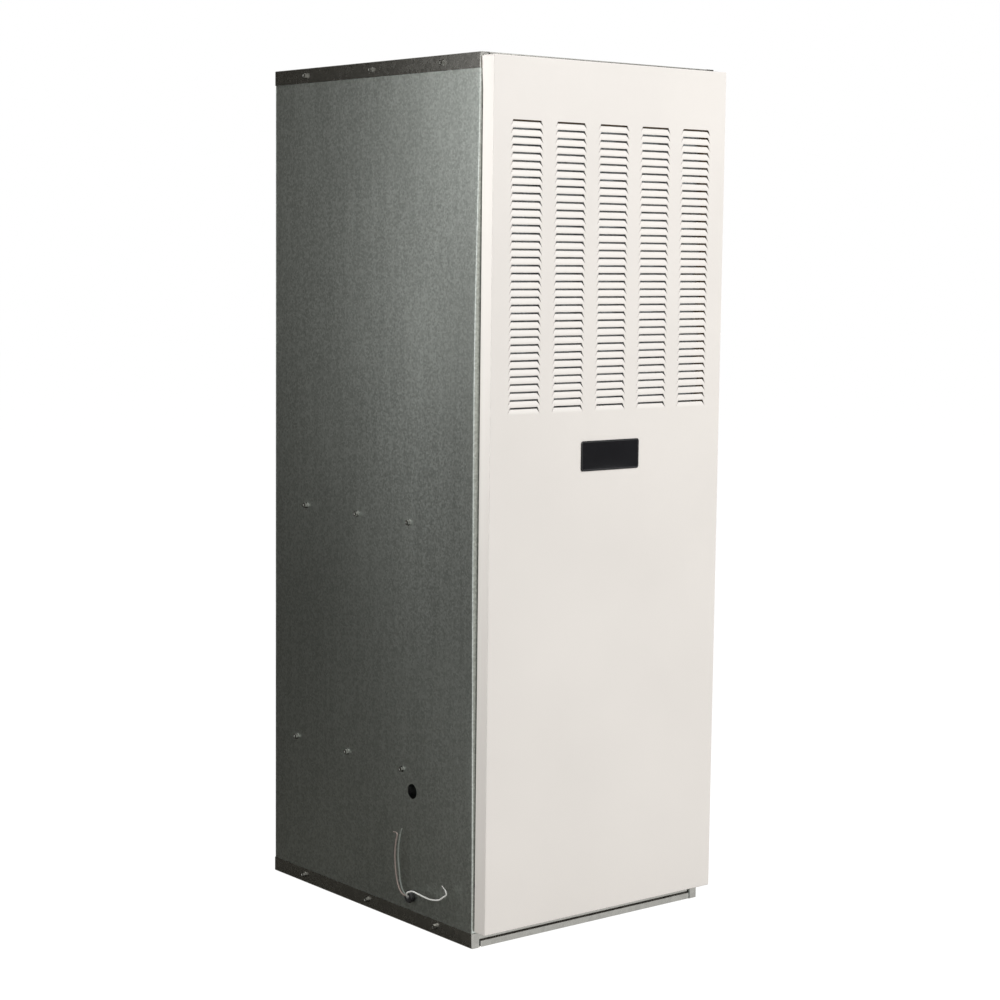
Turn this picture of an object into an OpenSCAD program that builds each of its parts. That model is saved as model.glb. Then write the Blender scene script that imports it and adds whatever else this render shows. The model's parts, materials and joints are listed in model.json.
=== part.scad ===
// Downflow electric furnace: a galvanised sheet casing with a painted pull-off door.
// Millimetres. +Z is up, the door faces -Y. The origin is under the middle of the whole object.
// Every module works from the casing's front plane (y = 0 there) and is moved back by placed().

/* [Casing] */
// Width over the flanges of the cap and the base
casing_w = 508; // [500:1:600]
// Depth over the flanges of the cap and the base, without the door
casing_d = 591; // [580:1:680]
// Height from the floor to the top of the cap
casing_h = 1453; // [1440:1:1600]
// Thickness of all sheet metal
sheet = 1; // [0.8:0.1:1.2]
// Gap between nested sheets
seat_gap = 0.3; // [0.2:0.05:0.4]
// Height of the flanges of the cap and the base
rim_h = 25.4; // [22:0.1:32]
// Width of the returns at the front corners
stub_w = 16; // [14:0.5:20]
// Gap between a corner return and the front lip
lip_gap = 3; // [2:0.5:6]
// Width of the returns along the side panels' front and rear edges
side_return_w = 16; // [16:0.5:18]
// Height of the crease in the base's front lip
crease_z = 11; // [8:0.5:12]
// How far the lip steps back above the crease
crease_step = 3.5; // [2:0.5:5]

/* [Duct opening in the base] */
// Width of the supply air opening
duct_w = 355.6; // [300:0.1:360]
// Depth of the supply air opening
duct_d = 355.6; // [300:0.1:356]
// Distance from the opening's centre to the back of the casing
duct_from_back = 191; // [190:1:200]
// Height of the collar round the opening
collar_h = 12; // [8:1:20]
// Radius of the four holes that fasten the base down
base_hole_r = 3.5; // [2.5:0.1:4.5]
// Spacing of those holes across the width
base_hole_x = 400; // [390:1:410]
// Spacing of those holes across the depth
base_hole_y = 260; // [200:1:280]

/* [Door] */
// How much narrower the door is than the casing
door_inset = 1.6; // [0:0.1:8]
// How far the door sits to the right of the casing's middle
door_shift = 3.8; // [3:0.1:4.5]
// Depth of the door's returns
door_depth = 26; // [25:0.5:32]
// Gap between the door's rear edge and the casing's front plane
door_gap = 2.3; // [1.5:0.1:4]
// Height of the door's bottom edge above the floor
door_bottom = 28.3; // [27:0.1:40]
// Distance from the door's top edge down from the casing's top
door_top_drop = 5.2; // [2:0.1:10]
// Width of the hem along the door's side returns
door_hem = 16; // [14:0.5:18]

/* [Louvres] */
// Columns of louvres
louvre_columns = 5; // [3:1:5]
// Rows of louvres
louvre_rows = 37; // [10:1:37]
// Width of the door that the columns leave plain, both sides together
louvre_margin = 45.9; // [45:0.1:55]
// Distance between rows
louvre_pitch_z = 12.7; // [12.4:0.1:12.8]
// Width of a louvre along its bend
louvre_bend_w = 65; // [58:0.5:70]
// Width of a louvre along its free edge
louvre_free_w = 57.5; // [50:0.5:57.5]
// Length of a louvre from its bend to its free edge
louvre_len = 11.2; // [9:0.1:11.6]
// How far the free edge is pushed in behind the door's face
louvre_push = 6; // [4:0.1:6.2]
// Distance from the door's top down to the middle of the louvred field
louvre_drop = 334.8; // [325:0.1:339]

/* [Badge] */
// Width of the badge plate
badge_w = 127; // [100:1:150]
// Height of the badge plate
badge_h = 50; // [40:1:60]
// Thickness of the badge's rim
badge_rim_t = 1.5; // [1:0.1:2]
// Height of the badge's raised field above its rim
badge_field_t = 1; // [0.5:0.1:1.5]
// Width of the badge's rim
badge_rim_w = 2.5; // [1.5:0.1:4]
// Radius of the badge's corners
badge_corner_r = 4; // [3:0.5:6]
// Distance from the middle of the louvred field down to the badge's middle
badge_drop = 307; // [290:1:325]

/* [Screws] */
// Width across the flats of the hexagon head
screw_hex = 7.9; // [7:0.1:8.5]
// Diameter of the washer under the head
screw_washer_d = 10.5; // [9.9:0.1:11]
// Height of the head with its washer
screw_head_h = 5; // [4:0.1:5.5]
// Diameter of the shank
screw_d = 4.2; // [3.5:0.1:4.5]
// Length of the shank with its point
screw_len = 12; // [10:0.5:12.5]
// Radial clearance round a shank
screw_clear = 0.1; // [0.05:0.05:0.3]
// Distance between neighbouring screws of the cap and the base
flange_screw_pitch = 197; // [180:1:200]
// Height of the screws above the base's lower edge
base_screw_z = 14.5; // [12:0.5:16]

/* [Side holes] */
// Diameter of the open supply cable hole
conduit_d = 25.4; // [22:0.1:25.6]
// Distance of that hole behind the casing's front plane
conduit_y = 168.4; // [150:0.1:169]
// Height of that hole
conduit_z = 231.5; // [200:0.5:240]
// Diameter of the low-voltage bushing's head
bushing_d = 23; // [20:0.5:25]
// How far the bushing stands out of the side panel
bushing_out = 8; // [6:0.5:9]
// Length of the bushing's collar inside the panel
bushing_in = 6; // [4:0.5:8]
// Diameter of the panel's hole for the bushing
bushing_hole_d = 19; // [16:0.5:19.5]

/* [Deck and coil rails] */
// Height of the deck's underside
deck_z = 700; // [695:1:705]
// Distance of the deck's front edge behind the casing's front plane
deck_front = 184; // [183:0.5:190]
// Height of the deck's flanges
deck_flange_h = 25; // [20:1:28]
// Length of the deck's side flanges
deck_flange_len = 320; // [312:1:360]
// Distance of the deck's side screws below its underside
deck_screw_drop = 12; // [9:0.5:13]
// Width of the air opening in the deck
deck_open_w = 320; // [280:1:330]
// Depth of the air opening in the deck
deck_open_d = 260; // [240:1:270]
// Height of the screws that hold the coil rails
rail_screw_z = 265; // [255:0.5:275]
// Size of each leg of a coil rail
rail_leg = 25.4; // [22:0.1:30]
// Length of a coil rail
rail_len = 385; // [360:1:390]
// Distance of the coil rails' front ends behind the casing's front plane
rail_front = 187; // [186.5:0.5:195]
// Thickness of the insulation
liner_t = 12.7; // [10:0.1:13]

/* [Heater] */
// Outer width of the heater box
heater_w = 344; // [340:1:360]
// Outer depth of the heater box
heater_d = 304; // [300:1:310]
// Outer height of the heater box
heater_h = 184; // [182:1:200]
// Distance of its front wall behind the deck's front edge
heater_setback = 32; // [30:1:36]
// Distance between heating elements
element_pitch = 106; // [105.5:0.5:108]
// Width of an element's mounting plate
element_plate_w = 104; // [100:1:105]
// Height of an element's mounting plate
element_plate_h = 160; // [156:1:164]
// Length of the element's rods behind its plate
element_len = 245; // [220:1:260]
// Diameter of the element's rods
element_rod_d = 6; // [5:0.5:8]
// Distance of a rod above or below the element's middle
element_rod_z = 60; // [56:1:62]
// Diameter of the wound resistance wire
coil_d = 14; // [12:0.5:16]
// Distance between runs of the resistance wire
coil_pitch = 24; // [20:0.5:26]

/* [Blower] */
// Diameter of the blower wheel
wheel_d = 254; // [240:1:256]
// Width of the blower wheel
wheel_w = 196; // [180:1:198]
// Number of blades
wheel_blades = 40; // [24:1:44]
// Radial depth of a blade
blade_depth = 20; // [16:0.5:22]
// Width of the blower housing
housing_w = 230; // [228:1:240]
// Radius of the scroll at its cutoff
scroll_r0 = 140; // [137:1:142]
// Radius of the scroll at its outlet
scroll_r1 = 205; // [200:1:210]
// Height of the blower's axis above the heater box
blower_lift = 171; // [165:1:180]
// Diameter of the throat of an inlet ring
throat_d = 200; // [190:1:204]
// Diameter of the motor
motor_d = 140; // [120:1:150]
// Length of the motor
motor_len = 140; // [120:1:150]
// Diameter of the motor's shaft
shaft_d = 12.7; // [10:0.1:16]
// Radial running clearance of the shaft
shaft_clear = 0.05; // [0.02:0.01:0.1]

/* [Controls] */
// Distance between the control tray and each side panel
tray_side_gap = 19.7; // [17:0.1:24]
// Depth of the control tray
tray_d = 154; // [150:1:160]
// Height of the control tray
tray_h = 189; // [186:1:200]
// Width of a circuit breaker
breaker_w = 51; // [48:1:52]
// Height of a circuit breaker
breaker_h = 76; // [70:1:80]
// Depth of a circuit breaker
breaker_d = 60; // [55:1:62]
// Diameter of the hub of a breaker handle
handle_hub_d = 18; // [16:0.5:20]
// Reach of a breaker handle from its pivot
handle_reach = 30; // [26:1:34]
// Diameter of the control cable
cable_d = 8; // [7:0.5:9]

/* [Filter] */
// Distance between the air filter and each side of the door
filter_side_gap = 30.95; // [30.2:0.05:33]
// Height of the air filter
filter_h = 495.3; // [490:0.1:500]
// Thickness of the air filter
filter_t = 19; // [16:0.5:19.2]
// Width of the filter's cardboard border
filter_border = 14; // [12:0.5:18]
// Number of pleats
filter_pleats = 30; // [16:1:36]
// Diameter of the retaining bail's wire
bail_d = 4; // [3:0.5:4]
// Length of the bail's arms
bail_arm = 100; // [80:1:105]

/* [Leads] */
// Diameter of the control leads
lead_d = 2.6; // [2.2:0.1:3]
// Diameter of a lead's bared end
bare_d = 1.4; // [1:0.1:1.8]

/* [Hidden] */
$fn = 48;

// The casing's front plane, so that the origin is under the middle of the whole object
door_face = -door_gap - door_depth;
front_y = -(door_face - badge_rim_t - badge_field_t + casing_d + screw_head_h) / 2;

// Faces of the casing's sheets
panel_out = casing_w / 2 - sheet - seat_gap;
panel_in = panel_out - sheet;
return_y = sheet + seat_gap;
back_out = casing_d - sheet - seat_gap;
back_in = back_out - sheet;
cap_z = casing_h - sheet;
side_top = cap_z;
lip_half = casing_w / 2 - stub_w - lip_gap;
corner_x = panel_out - side_return_w / 2;
flange_screw_y = [for (k = [-1 : 1]) casing_d / 2 + k * flange_screw_pitch];
cap_screw_z = casing_h - rim_h / 2;
back_screw_x = [-170, 0, 170];
seam_screw_z = [400, 760, 1100];

// The deck, what stands on it and what hangs from it
deck_top = deck_z + sheet;
deck_rear = back_in - sheet - seat_gap;
deck_half = panel_in - seat_gap;
deck_ear = 10;
deck_flange_end = deck_front + deck_flange_len;
deck_screw_steps = [-1, 150, 306];
deck_screw_y = [for (step = deck_screw_steps) deck_front + step];
deck_screw_z = deck_z - deck_screw_drop;
rail_screw_steps = [10, 173, 332];
rail_screw_y = [for (step = rail_screw_steps) rail_front + step];
rail_end = rail_front + rail_len;
duct_y = casing_d - duct_from_back;
plenum_out = deck_front - sheet;
tongue_w = 2 * (panel_in - 31.7);
plenum_screw_x = [20 - tongue_w / 2, 0, tongue_w / 2 - 20];
sill_h = rim_h;
sill_leg = 20;

// The insulation's heights above and below the deck
liner_gap = 5;
liner_low = [rail_screw_z + rail_leg / 2 + liner_gap, deck_z - deck_flange_h - liner_gap];
liner_high = [deck_top, casing_h - rim_h];
liner_rear = back_in - liner_t - 1;

// The heater box and its elements
heater_y = deck_front + heater_setback;
heater_top = deck_top + heater_h;
heater_foot = 18;
heater_foot_steps = [45, 150, 265];
heater_foot_y = [for (step = heater_foot_steps) heater_y + step];
heater_foot_x = heater_w / 2 + heater_foot / 2;
element_x = [for (k = [-1 : 1]) k * element_pitch];
element_z = deck_top + heater_h / 2;
element_port_w = element_plate_w - 20;
element_port_h = element_plate_h - 16;
coil_start = heater_y + 20;
coil_end = heater_y + element_len - 15;
coil_rows = [for (k = [-1.5 : 1 : 1.5]) k * coil_pitch];
bar_start = 32;
bar_pitch = 58;
bar_w = 24;
bar_t = 8;
bar_over = 5;
bar_y = [for (k = [0 : 3]) heater_y + bar_start + k * bar_pitch];
bar_half = element_rod_z + element_rod_d / 2 + bar_over;
terminal_d = 5;
disc_d = 24;
disc_t = 9;

// The blower
blower_z = heater_top + blower_lift;
scroll_sweep = 250;
scroll_steps = 30;
outlet_front = 14;
blower_y = heater_y + outlet_front - scroll_r0 * cos(scroll_sweep);
outlet_y = [blower_y + scroll_r0 * cos(scroll_sweep), blower_y + scroll_r1];
outlet_lip = 14;
outlet_screw_in = [30, 40];
outlet_screw_y = [outlet_y[0] + outlet_screw_in[0], outlet_y[1] - outlet_screw_in[1]];
hub_x = -12;
wheel_ring_t = 3;
blade_t = 1;
blade_len = blade_depth - 2;
blade_lean = 35;
motor_x = 5;
band_w = 25;
band_t = 2;
band_gap = 0.2;
band_x = housing_w / 2 - 12;
arm_angles = [30, 150, 270];
arm_end = 150;
capacitor_d = 42;
capacitor_h = 76;
capacitor_back = 155;
capacitor_y = blower_y + capacitor_back;
capacitor_z = blower_z + 2;

// The control tray and what is in it
tray_w = 2 * (panel_in - tray_side_gap);
tray_front = heater_y - tray_d;
tray_top = deck_top + tray_h;
tray_lip = 16;
tray_window_h = element_plate_h + 8;
tray_screw_x = tray_w / 2 - 2 * tray_lip;
cover_screw_x = tray_w / 2 - tray_lip / 2;
cover_screw_z = [deck_top + 18, tray_top - 18];
breaker_in = 42;
breaker_x = [breaker_in - tray_w / 2, breaker_in - tray_w / 2 + breaker_w + 4];
breaker_y = tray_front + 4;
breaker_lift = 97;
breaker_z = deck_top + breaker_lift;
handle_y = breaker_y + 12;
handle_w = 30;
handle_t = 10;
handle_tilt = 20;
trunnion_d = 5;
trunnion_len = 4;
window_h = 28;
bracket_y = breaker_y + breaker_d;
bracket_t = 2;
bracket_leg = 25;
bracket_over = 8;
strip_in = 32;
strip_x = strip_in - tray_w / 2;
strip_y = 165;
grommet_y = 150;
grommet_hole_d = cable_d + 6;
cable_z = deck_top + sheet + 8;

// The bushing's place in the left side panel
bushing_y = 168.5;
bushing_z = 50;

// The control cable's route from the bushing's face to the terminal strip
cable_wall = -panel_in;
cable_x = cable_wall + 12;
cable_y = 135;
cable_points = [
    [-panel_out - bushing_out, bushing_y, bushing_z], [cable_wall, bushing_y, bushing_z],
    [cable_wall + 7, bushing_y, bushing_z], [cable_wall + 11, 166, 53],
    [cable_x, 159, 64], [cable_x, 148, 84], [cable_x, 139, 110], [cable_x, cable_y, 150],
    [cable_x, cable_y, 220], [cable_x, cable_y, 300], [cable_x, cable_y, 400], [cable_x, cable_y, 500],
    [cable_x, cable_y, 580], [cable_wall + 16, 138, 630], [cable_wall + 30, 145, 664],
    [strip_x - 6, 149, 684], [strip_x, grommet_y, deck_top - 4], [strip_x, 151.5, deck_top + 4],
    [strip_x, 155, deck_top + 9], [strip_x, 158.5, cable_z], [strip_x, 162, cable_z],
    [strip_x, strip_y, cable_z]
];
clip_z = [160, 320, 480];

// Routes of the three control leads from the bushing's face outwards.
// Each point has its distance from the side panel's outer face, then y and z
grey_brown_points = [
    [bushing_out, 170.5, 51.5], [10.5, 171.5, 52.5], [13.5, 178, 56], [14.5, 185.5, 66], [14.5, 191, 80],
    [14.5, 194.5, 96], [14.5, 196.3, 115], [14.5, 195.5, 130], [14.5, 193, 145], [14.5, 190, 154],
    [14.5, 193, 157.5], [14.5, 201.5, 157]
];
grey_green_points = [
    [bushing_out, 168.5, 52.6], [10.5, 169.5, 54], [13.5, 174.5, 61], [14.5, 180.5, 76], [14.5, 183.5, 94],
    [14.5, 186.5, 110], [14.5, 187, 122], [14.5, 186.4, 133], [14.5, 184.5, 145], [14.5, 182.2, 154.5],
    [14.5, 180.5, 160], [14.5, 177.8, 167]
];
white_points = [
    [bushing_out, 166.4, 50.6], [10.5, 166.2, 51.4], [14.5, 162, 59], [14.5, 154, 63.5], [14.5, 144, 66],
    [14.5, 130, 65], [14.5, 115, 64], [14.5, 98, 63.5], [14.5, 81, 66], [14.5, 70, 69.5],
    [14.5, 61, 75.5], [14.5, 52.5, 81.5], [14.5, 54, 88], [14.5, 64, 94.5]
];

bare_rings = 4;

// The door and what hangs on it
door_w = casing_w - door_inset;
door_top = casing_h - door_top_drop;
louvre_pitch_x = (door_w - louvre_margin) / louvre_columns;
louvre_mid_z = door_top - louvre_drop;
badge_z = louvre_mid_z - badge_drop;
filter_w = door_w - 2 * filter_side_gap;
door_x = [door_shift - door_w / 2, door_shift + door_w / 2];
door_in = door_face + sheet;
stud_z = [door_bottom + 80, door_top - 80];
stud_d = 5;
stud_ball_d = 8;
stud_reach = 11;
clip_gap = 0.3;
clip_t = 1;
clip_w = 12;
clip_len = 26;
badge_x = door_shift + 2;
filter_y = door_in + louvre_push + 0.3;
filter_z = louvre_mid_z - filter_h / 2;
filter_slack = 0.5;
rail_foot = 12;
channel_lip_h = 10;
rail_top = filter_z + filter_h + 12;
bail_y = filter_y + filter_t + seat_gap + bail_d / 2;
bail_z = filter_z + filter_h - 30;
bail_x = filter_w / 2 + filter_slack - bail_d / 2 - 1;
bail_clear = 0.05;
ear_h = 16;

// Helpers

module placed() {
    translate([0, front_y, 0]) children();
}

module block(x, y, z) {
    translate([x[0], y[0], z[0]]) cube([x[1] - x[0], y[1] - y[0], z[1] - z[0]]);
}

module both_sides() {
    children();
    mirror([1, 0, 0]) children();
}

// A cylinder along X, from x[0] to x[1]
module rod_x(x, y, z, d) {
    translate([x[0], y, z]) rotate([0, 90, 0]) cylinder(h = x[1] - x[0], d = d);
}

// A cylinder along Y, from y[0] to y[1]
module rod_y(x, y, z, d) {
    translate([x, y[1], z]) rotate([90, 0, 0]) cylinder(h = y[1] - y[0], d = d);
}

// A prism along X, from a profile drawn in Y and Z
module profile_x(x) {
    translate([x[0], 0, 0]) rotate([90, 0, 90]) linear_extrude(x[1] - x[0]) children();
}

// A rectangle with round corners, centred
module round_rect(w, h, r) {
    square([w - 2 * r, h], center = true);
    square([w, h - 2 * r], center = true);
    for (x = [-1, 1])
        for (y = [-1, 1])
            translate([x * (w / 2 - r), y * (h / 2 - r)]) circle(r = r);
}

// Swept tubes

function unit(v) = v / norm(v);

function tangent(path, i) = unit(path[min(i + 1, len(path) - 1)] - path[max(i - 1, 0)]);

// A vector square to the path, carried along it without twist
function carried(path, i) =
    let (t = tangent(path, i), before = i == 0 ? [0, 0.1, 1] : carried(path, i - 1))
    unit(before - (before * t) * t);

function spline(a, b, c, d, t) =
    0.5 * (2 * b + (c - a) * t + (2 * a - 5 * b + 4 * c - d) * t * t + (3 * b - a - 3 * c + d) * t * t * t);

function smooth(p, steps) = concat(
    [for (i = [0 : len(p) - 2])
        for (k = [0 : steps - 1])
            spline(p[max(i - 1, 0)], p[i], p[i + 1], p[min(i + 2, len(p) - 1)], k / steps)],
    [p[len(p) - 1]]
);

module swept_tube(route, d, end_d, end_rings, steps) {
    path = smooth(route, steps);
    sides = 8;
    last = len(path) - 1;
    points = [
        for (i = [0 : last])
            let (t = tangent(path, i), u = carried(path, i), v = cross(t, u))
            let (r = (i > last - end_rings ? end_d : d) / 2)
            for (k = [0 : sides - 1]) path[i] + r * (cos(360 * k / sides) * u + sin(360 * k / sides) * v)
    ];
    walls = [
        for (i = [0 : last - 1])
            for (k = [0 : sides - 1])
                let (a = i * sides + k, b = i * sides + (k + 1) % sides)
                for (face = [[a, a + sides, b], [b, a + sides, b + sides]]) face
    ];
    start = [[for (k = [0 : sides - 1]) k]];
    end = [[for (k = [sides - 1 : -1 : 0]) last * sides + k]];
    polyhedron(points, concat(walls, start, end));
}

// Screws and their holes

// A screw whose washer seats on z = 0, with its shank along +Z
module screw() {
    washer_t = 1;
    point = 4;
    tip_d = 0.8;
    translate([0, 0, -screw_head_h])
        cylinder(h = screw_head_h - washer_t / 2, d = screw_hex / cos(30), $fn = 6);
    translate([0, 0, -washer_t]) cylinder(h = washer_t, d = screw_washer_d);
    cylinder(h = screw_len - point, d = screw_d);
    translate([0, 0, screw_len - point]) cylinder(h = point, d1 = screw_d, d2 = tip_d);
}

// The hole for a screw's shank, from above its head to past its point
module shank_hole() {
    above = screw_head_h + 1;
    below = screw_len + 2;
    translate([0, 0, -above]) cylinder(h = above + below, d = screw_d + 2 * screw_clear);
}

// Rows of screws or holes through the right side, along X; the left side is its mirror image
module side_row(seat_x, ys, z) {
    for (y = ys) translate([seat_x, y, z]) rotate([0, -90, 0]) children();
}

module cap_row() {
    side_row(casing_w / 2, flange_screw_y, cap_screw_z) children();
}

module base_row() {
    side_row(casing_w / 2, flange_screw_y, base_screw_z) children();
}

module deck_row() {
    side_row(panel_out, deck_screw_y, deck_screw_z) children();
}

module rail_row() {
    side_row(panel_out, rail_screw_y, rail_screw_z) children();
}

// Screws or holes through the back, along Y
module back_row(z) {
    for (x = back_screw_x) translate([x, casing_d, z]) rotate([90, 0, 0]) children();
}

module seam_rows() {
    for (x = [-corner_x, corner_x])
        for (z = seam_screw_z) translate([x, back_out, z]) rotate([90, 0, 0]) children();
}

// Screws or holes of the plenum panel, from the front
module plenum_rows() {
    for (x = plenum_screw_x)
        for (z = [base_screw_z, deck_screw_z]) translate([x, plenum_out, z]) rotate([-90, 0, 0]) children();
}

// Screws or holes that point down through the deck
module deck_top_screws() {
    for (x = [-tray_screw_x, tray_screw_x])
        translate([x, deck_front + heater_setback / 2, deck_top + sheet]) rotate([180, 0, 0]) children();
    for (x = [-heater_foot_x, heater_foot_x])
        for (y = heater_foot_y) translate([x, y, deck_top + sheet]) rotate([180, 0, 0]) children();
}

// Screws or holes that hold the blower's outlet down on the heater box
module outlet_screws() {
    for (x = [-1, 1])
        for (y = outlet_screw_y)
            translate([x * (housing_w + outlet_lip) / 2, y, heater_top + sheet])
                rotate([180, 0, 0]) children();
}

module cover_screws() {
    for (x = [-cover_screw_x, cover_screw_x])
        for (z = cover_screw_z) translate([x, tray_front - sheet, z]) rotate([-90, 0, 0]) children();
}

module sheet_screws() {
    color("silver") placed() {
        both_sides() {
            cap_row() screw();
            base_row() screw();
            deck_row() screw();
            rail_row() screw();
        }
        back_row(cap_screw_z) screw();
        back_row(base_screw_z) screw();
        seam_rows() screw();
        plenum_rows() screw();
        deck_top_screws() screw();
        outlet_screws() screw();
        cover_screws() screw();
    }
}

// Casing

// The flanges that the cap and the base share, between two heights
module rim(z) {
    both_sides() {
        block([casing_w / 2 - sheet, casing_w / 2], [0, casing_d], z);
        block([casing_w / 2 - stub_w, casing_w / 2], [0, sheet], z);
    }
    block([-casing_w / 2, casing_w / 2], [casing_d - sheet, casing_d], z);
}

module base_pan() {
    color("darkgray") placed() difference() {
        union() {
            rim([0, rim_h]);
            block([-casing_w / 2, casing_w / 2], [0, casing_d], [0, sheet]);
            profile_x([-lip_half, lip_half]) base_lip();
            block([-duct_w / 2 - sheet, duct_w / 2 + sheet],
                  [duct_y - duct_d / 2 - sheet, duct_y + duct_d / 2 + sheet], [0, collar_h]);
        }
        block([-duct_w / 2, duct_w / 2], [duct_y - duct_d / 2, duct_y + duct_d / 2], [-1, collar_h + 1]);
        for (x = [-base_hole_x / 2, base_hole_x / 2])
            for (y = [duct_y - base_hole_y / 2, duct_y + base_hole_y / 2])
                translate([x, y, -1]) cylinder(h = sheet + 2, r = base_hole_r);
        both_sides() base_row() shank_hole();
        back_row(base_screw_z) shank_hole();
    }
}

// The lip's section: upright from the floor, creased, then upright again further back
module base_lip() {
    slope = 2;
    polygon([
        [0, 0], [sheet, 0], [sheet, crease_z], [sheet + crease_step, crease_z + slope],
        [sheet + crease_step, rim_h], [crease_step, rim_h], [crease_step, crease_z + slope], [0, crease_z]
    ]);
}

module top_cap() {
    color("darkgray") placed() difference() {
        union() {
            rim([casing_h - rim_h, casing_h]);
            block([-casing_w / 2, casing_w / 2], [0, casing_d], [cap_z, casing_h]);
            block([-lip_half, lip_half], [0, sheet], [casing_h - rim_h, casing_h]);
        }
        both_sides() cap_row() shank_hole();
        back_row(cap_screw_z) shank_hole();
    }
}

// A right-hand side panel: web, front return with its stud holes, rear return
module side_panel() {
    z = [sheet, side_top];
    difference() {
        union() {
            block([panel_in, panel_out], [return_y, back_in], z);
            block([panel_out - side_return_w, panel_out], [return_y, return_y + sheet], z);
            block([panel_out - side_return_w, panel_out], [back_in - sheet, back_in], z);
        }
        cap_row() shank_hole();
        base_row() shank_hole();
        deck_row() shank_hole();
        rail_row() shank_hole();
        seam_rows() shank_hole();
        for (z = stud_z) rod_y(corner_x, [return_y - 1, return_y + sheet + 1], z, stud_ball_d + 2);
    }
}

module side_panel_right() {
    color("gray") placed() side_panel();
}

module side_panel_left() {
    color("gray") placed() difference() {
        mirror([1, 0, 0]) side_panel();
        rod_x([-panel_out - 1, -panel_in + 1], conduit_y, conduit_z, conduit_d);
        rod_x([-panel_out - 1, -panel_in + 1], bushing_y, bushing_z, bushing_hole_d);
    }
}

module back_panel() {
    color("gray") placed() difference() {
        block([-panel_out, panel_out], [back_in, back_out], [sheet, side_top]);
        back_row(cap_screw_z) shank_hole();
        back_row(base_screw_z) shank_hole();
        seam_rows() shank_hole();
    }
}

// Insulation: one slab above the deck and one below it

module side_liner() {
    block([panel_in - liner_t, panel_in], [30, liner_rear], liner_high);
    block([panel_in - liner_t, panel_in], [deck_front + 6, liner_rear], liner_low);
}

module liner_left() {
    color("gainsboro") placed() mirror([1, 0, 0]) side_liner();
}

module liner_right() {
    color("gainsboro") placed() side_liner();
}

module liner_back() {
    half = panel_out - side_return_w - 1;
    color("gainsboro") placed() {
        block([-half, half], [back_in - liner_t, back_in], liner_high);
        block([-half, half], [back_in - liner_t, back_in], liner_low);
    }
}

// Deck, coil rails and plenum panel

module deck() {
    z = [deck_z - deck_flange_h, deck_z];
    open_y = heater_y + heater_d / 2;
    color("lightgray") placed() difference() {
        union() {
            block([-deck_half, deck_half], [deck_front, deck_rear], [deck_z, deck_top]);
            both_sides() block([deck_half - sheet, deck_half], [deck_front - deck_ear, deck_flange_end],
                               [z[0], deck_top]);
            block([-tongue_w / 2, tongue_w / 2], [deck_front, deck_front + sheet], z);
        }
        block([-deck_open_w / 2, deck_open_w / 2], [open_y - deck_open_d / 2, open_y + deck_open_d / 2],
              [deck_z - 1, deck_top + 1]);
        both_sides() deck_row() shank_hole();
        plenum_rows() shank_hole();
        deck_top_screws() shank_hole();
    }
}

module coil_rail() {
    difference() {
        union() {
            block([panel_in - sheet, panel_in], [rail_front, rail_end],
                  [rail_screw_z - rail_leg / 2, rail_screw_z + rail_leg / 2]);
            block([panel_in - rail_leg, panel_in], [rail_front, rail_end],
                  [rail_screw_z + rail_leg / 2 - sheet, rail_screw_z + rail_leg / 2]);
        }
        rail_row() shank_hole();
    }
}

module coil_rail_left() {
    color("lightgray") placed() mirror([1, 0, 0]) coil_rail();
}

module coil_rail_right() {
    color("lightgray") placed() coil_rail();
}

module plenum_sill() {
    color("lightgray") placed() difference() {
        union() {
            block([-tongue_w / 2, tongue_w / 2], [deck_front, deck_front + sheet], [sheet, sheet + sill_h]);
            block([-tongue_w / 2, tongue_w / 2], [deck_front, deck_front + sill_leg], [sheet, 2 * sheet]);
        }
        plenum_rows() shank_hole();
    }
}

module plenum_panel() {
    half = panel_in - seat_gap;
    color("lightgray") placed() difference() {
        union() {
            block([-half, half], [plenum_out, deck_front], [sheet + 3, deck_z - deck_flange_h - 4]);
            block([-tongue_w / 2, tongue_w / 2], [plenum_out, deck_front], [sheet + 3, deck_z]);
        }
        plenum_rows() shank_hole();
    }
}

// Heater box and heating elements

module heater_box() {
    x = [-heater_w / 2, heater_w / 2];
    y = [heater_y, heater_y + heater_d];
    color("silver") placed() difference() {
        union() {
            difference() {
                block(x, y, [deck_top, heater_top]);
                block([x[0] + sheet, x[1] - sheet], [y[0] + sheet, y[1] - sheet],
                      [deck_top - 1, heater_top - sheet]);
            }
            both_sides()
                block([heater_w / 2 - sheet, heater_w / 2 + heater_foot], y, [deck_top, deck_top + sheet]);
        }
        block([-housing_w / 2 + sheet, housing_w / 2 - sheet], outlet_y,
              [heater_top - 2 * sheet, heater_top + 1]);
        for (x = element_x)
            block([x - element_port_w / 2, x + element_port_w / 2], [heater_y - 1, heater_y + sheet + 1],
                  [element_z - element_port_h / 2, element_z + element_port_h / 2]);
        deck_top_screws() shank_hole();
        outlet_screws() shank_hole();
    }
}

// An element's plate with its two rods
module element_rack(x) {
    color("silver") placed() {
        difference() {
            block([x - element_plate_w / 2, x + element_plate_w / 2], [heater_y - sheet, heater_y],
                  [element_z - element_plate_h / 2, element_z + element_plate_h / 2]);
            for (z = [coil_rows[0], coil_rows[3]])
                rod_y(x, [heater_y - 2 * sheet, heater_y + sheet], element_z + z, coil_d - 2);
        }
        for (z = [-element_rod_z, element_rod_z])
            rod_y(x, [heater_y - sheet / 2, heater_y + element_len], element_z + z, element_rod_d);
    }
}

module element_1_rack() element_rack(element_x[0]);
module element_2_rack() element_rack(element_x[1]);
module element_3_rack() element_rack(element_x[2]);

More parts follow.
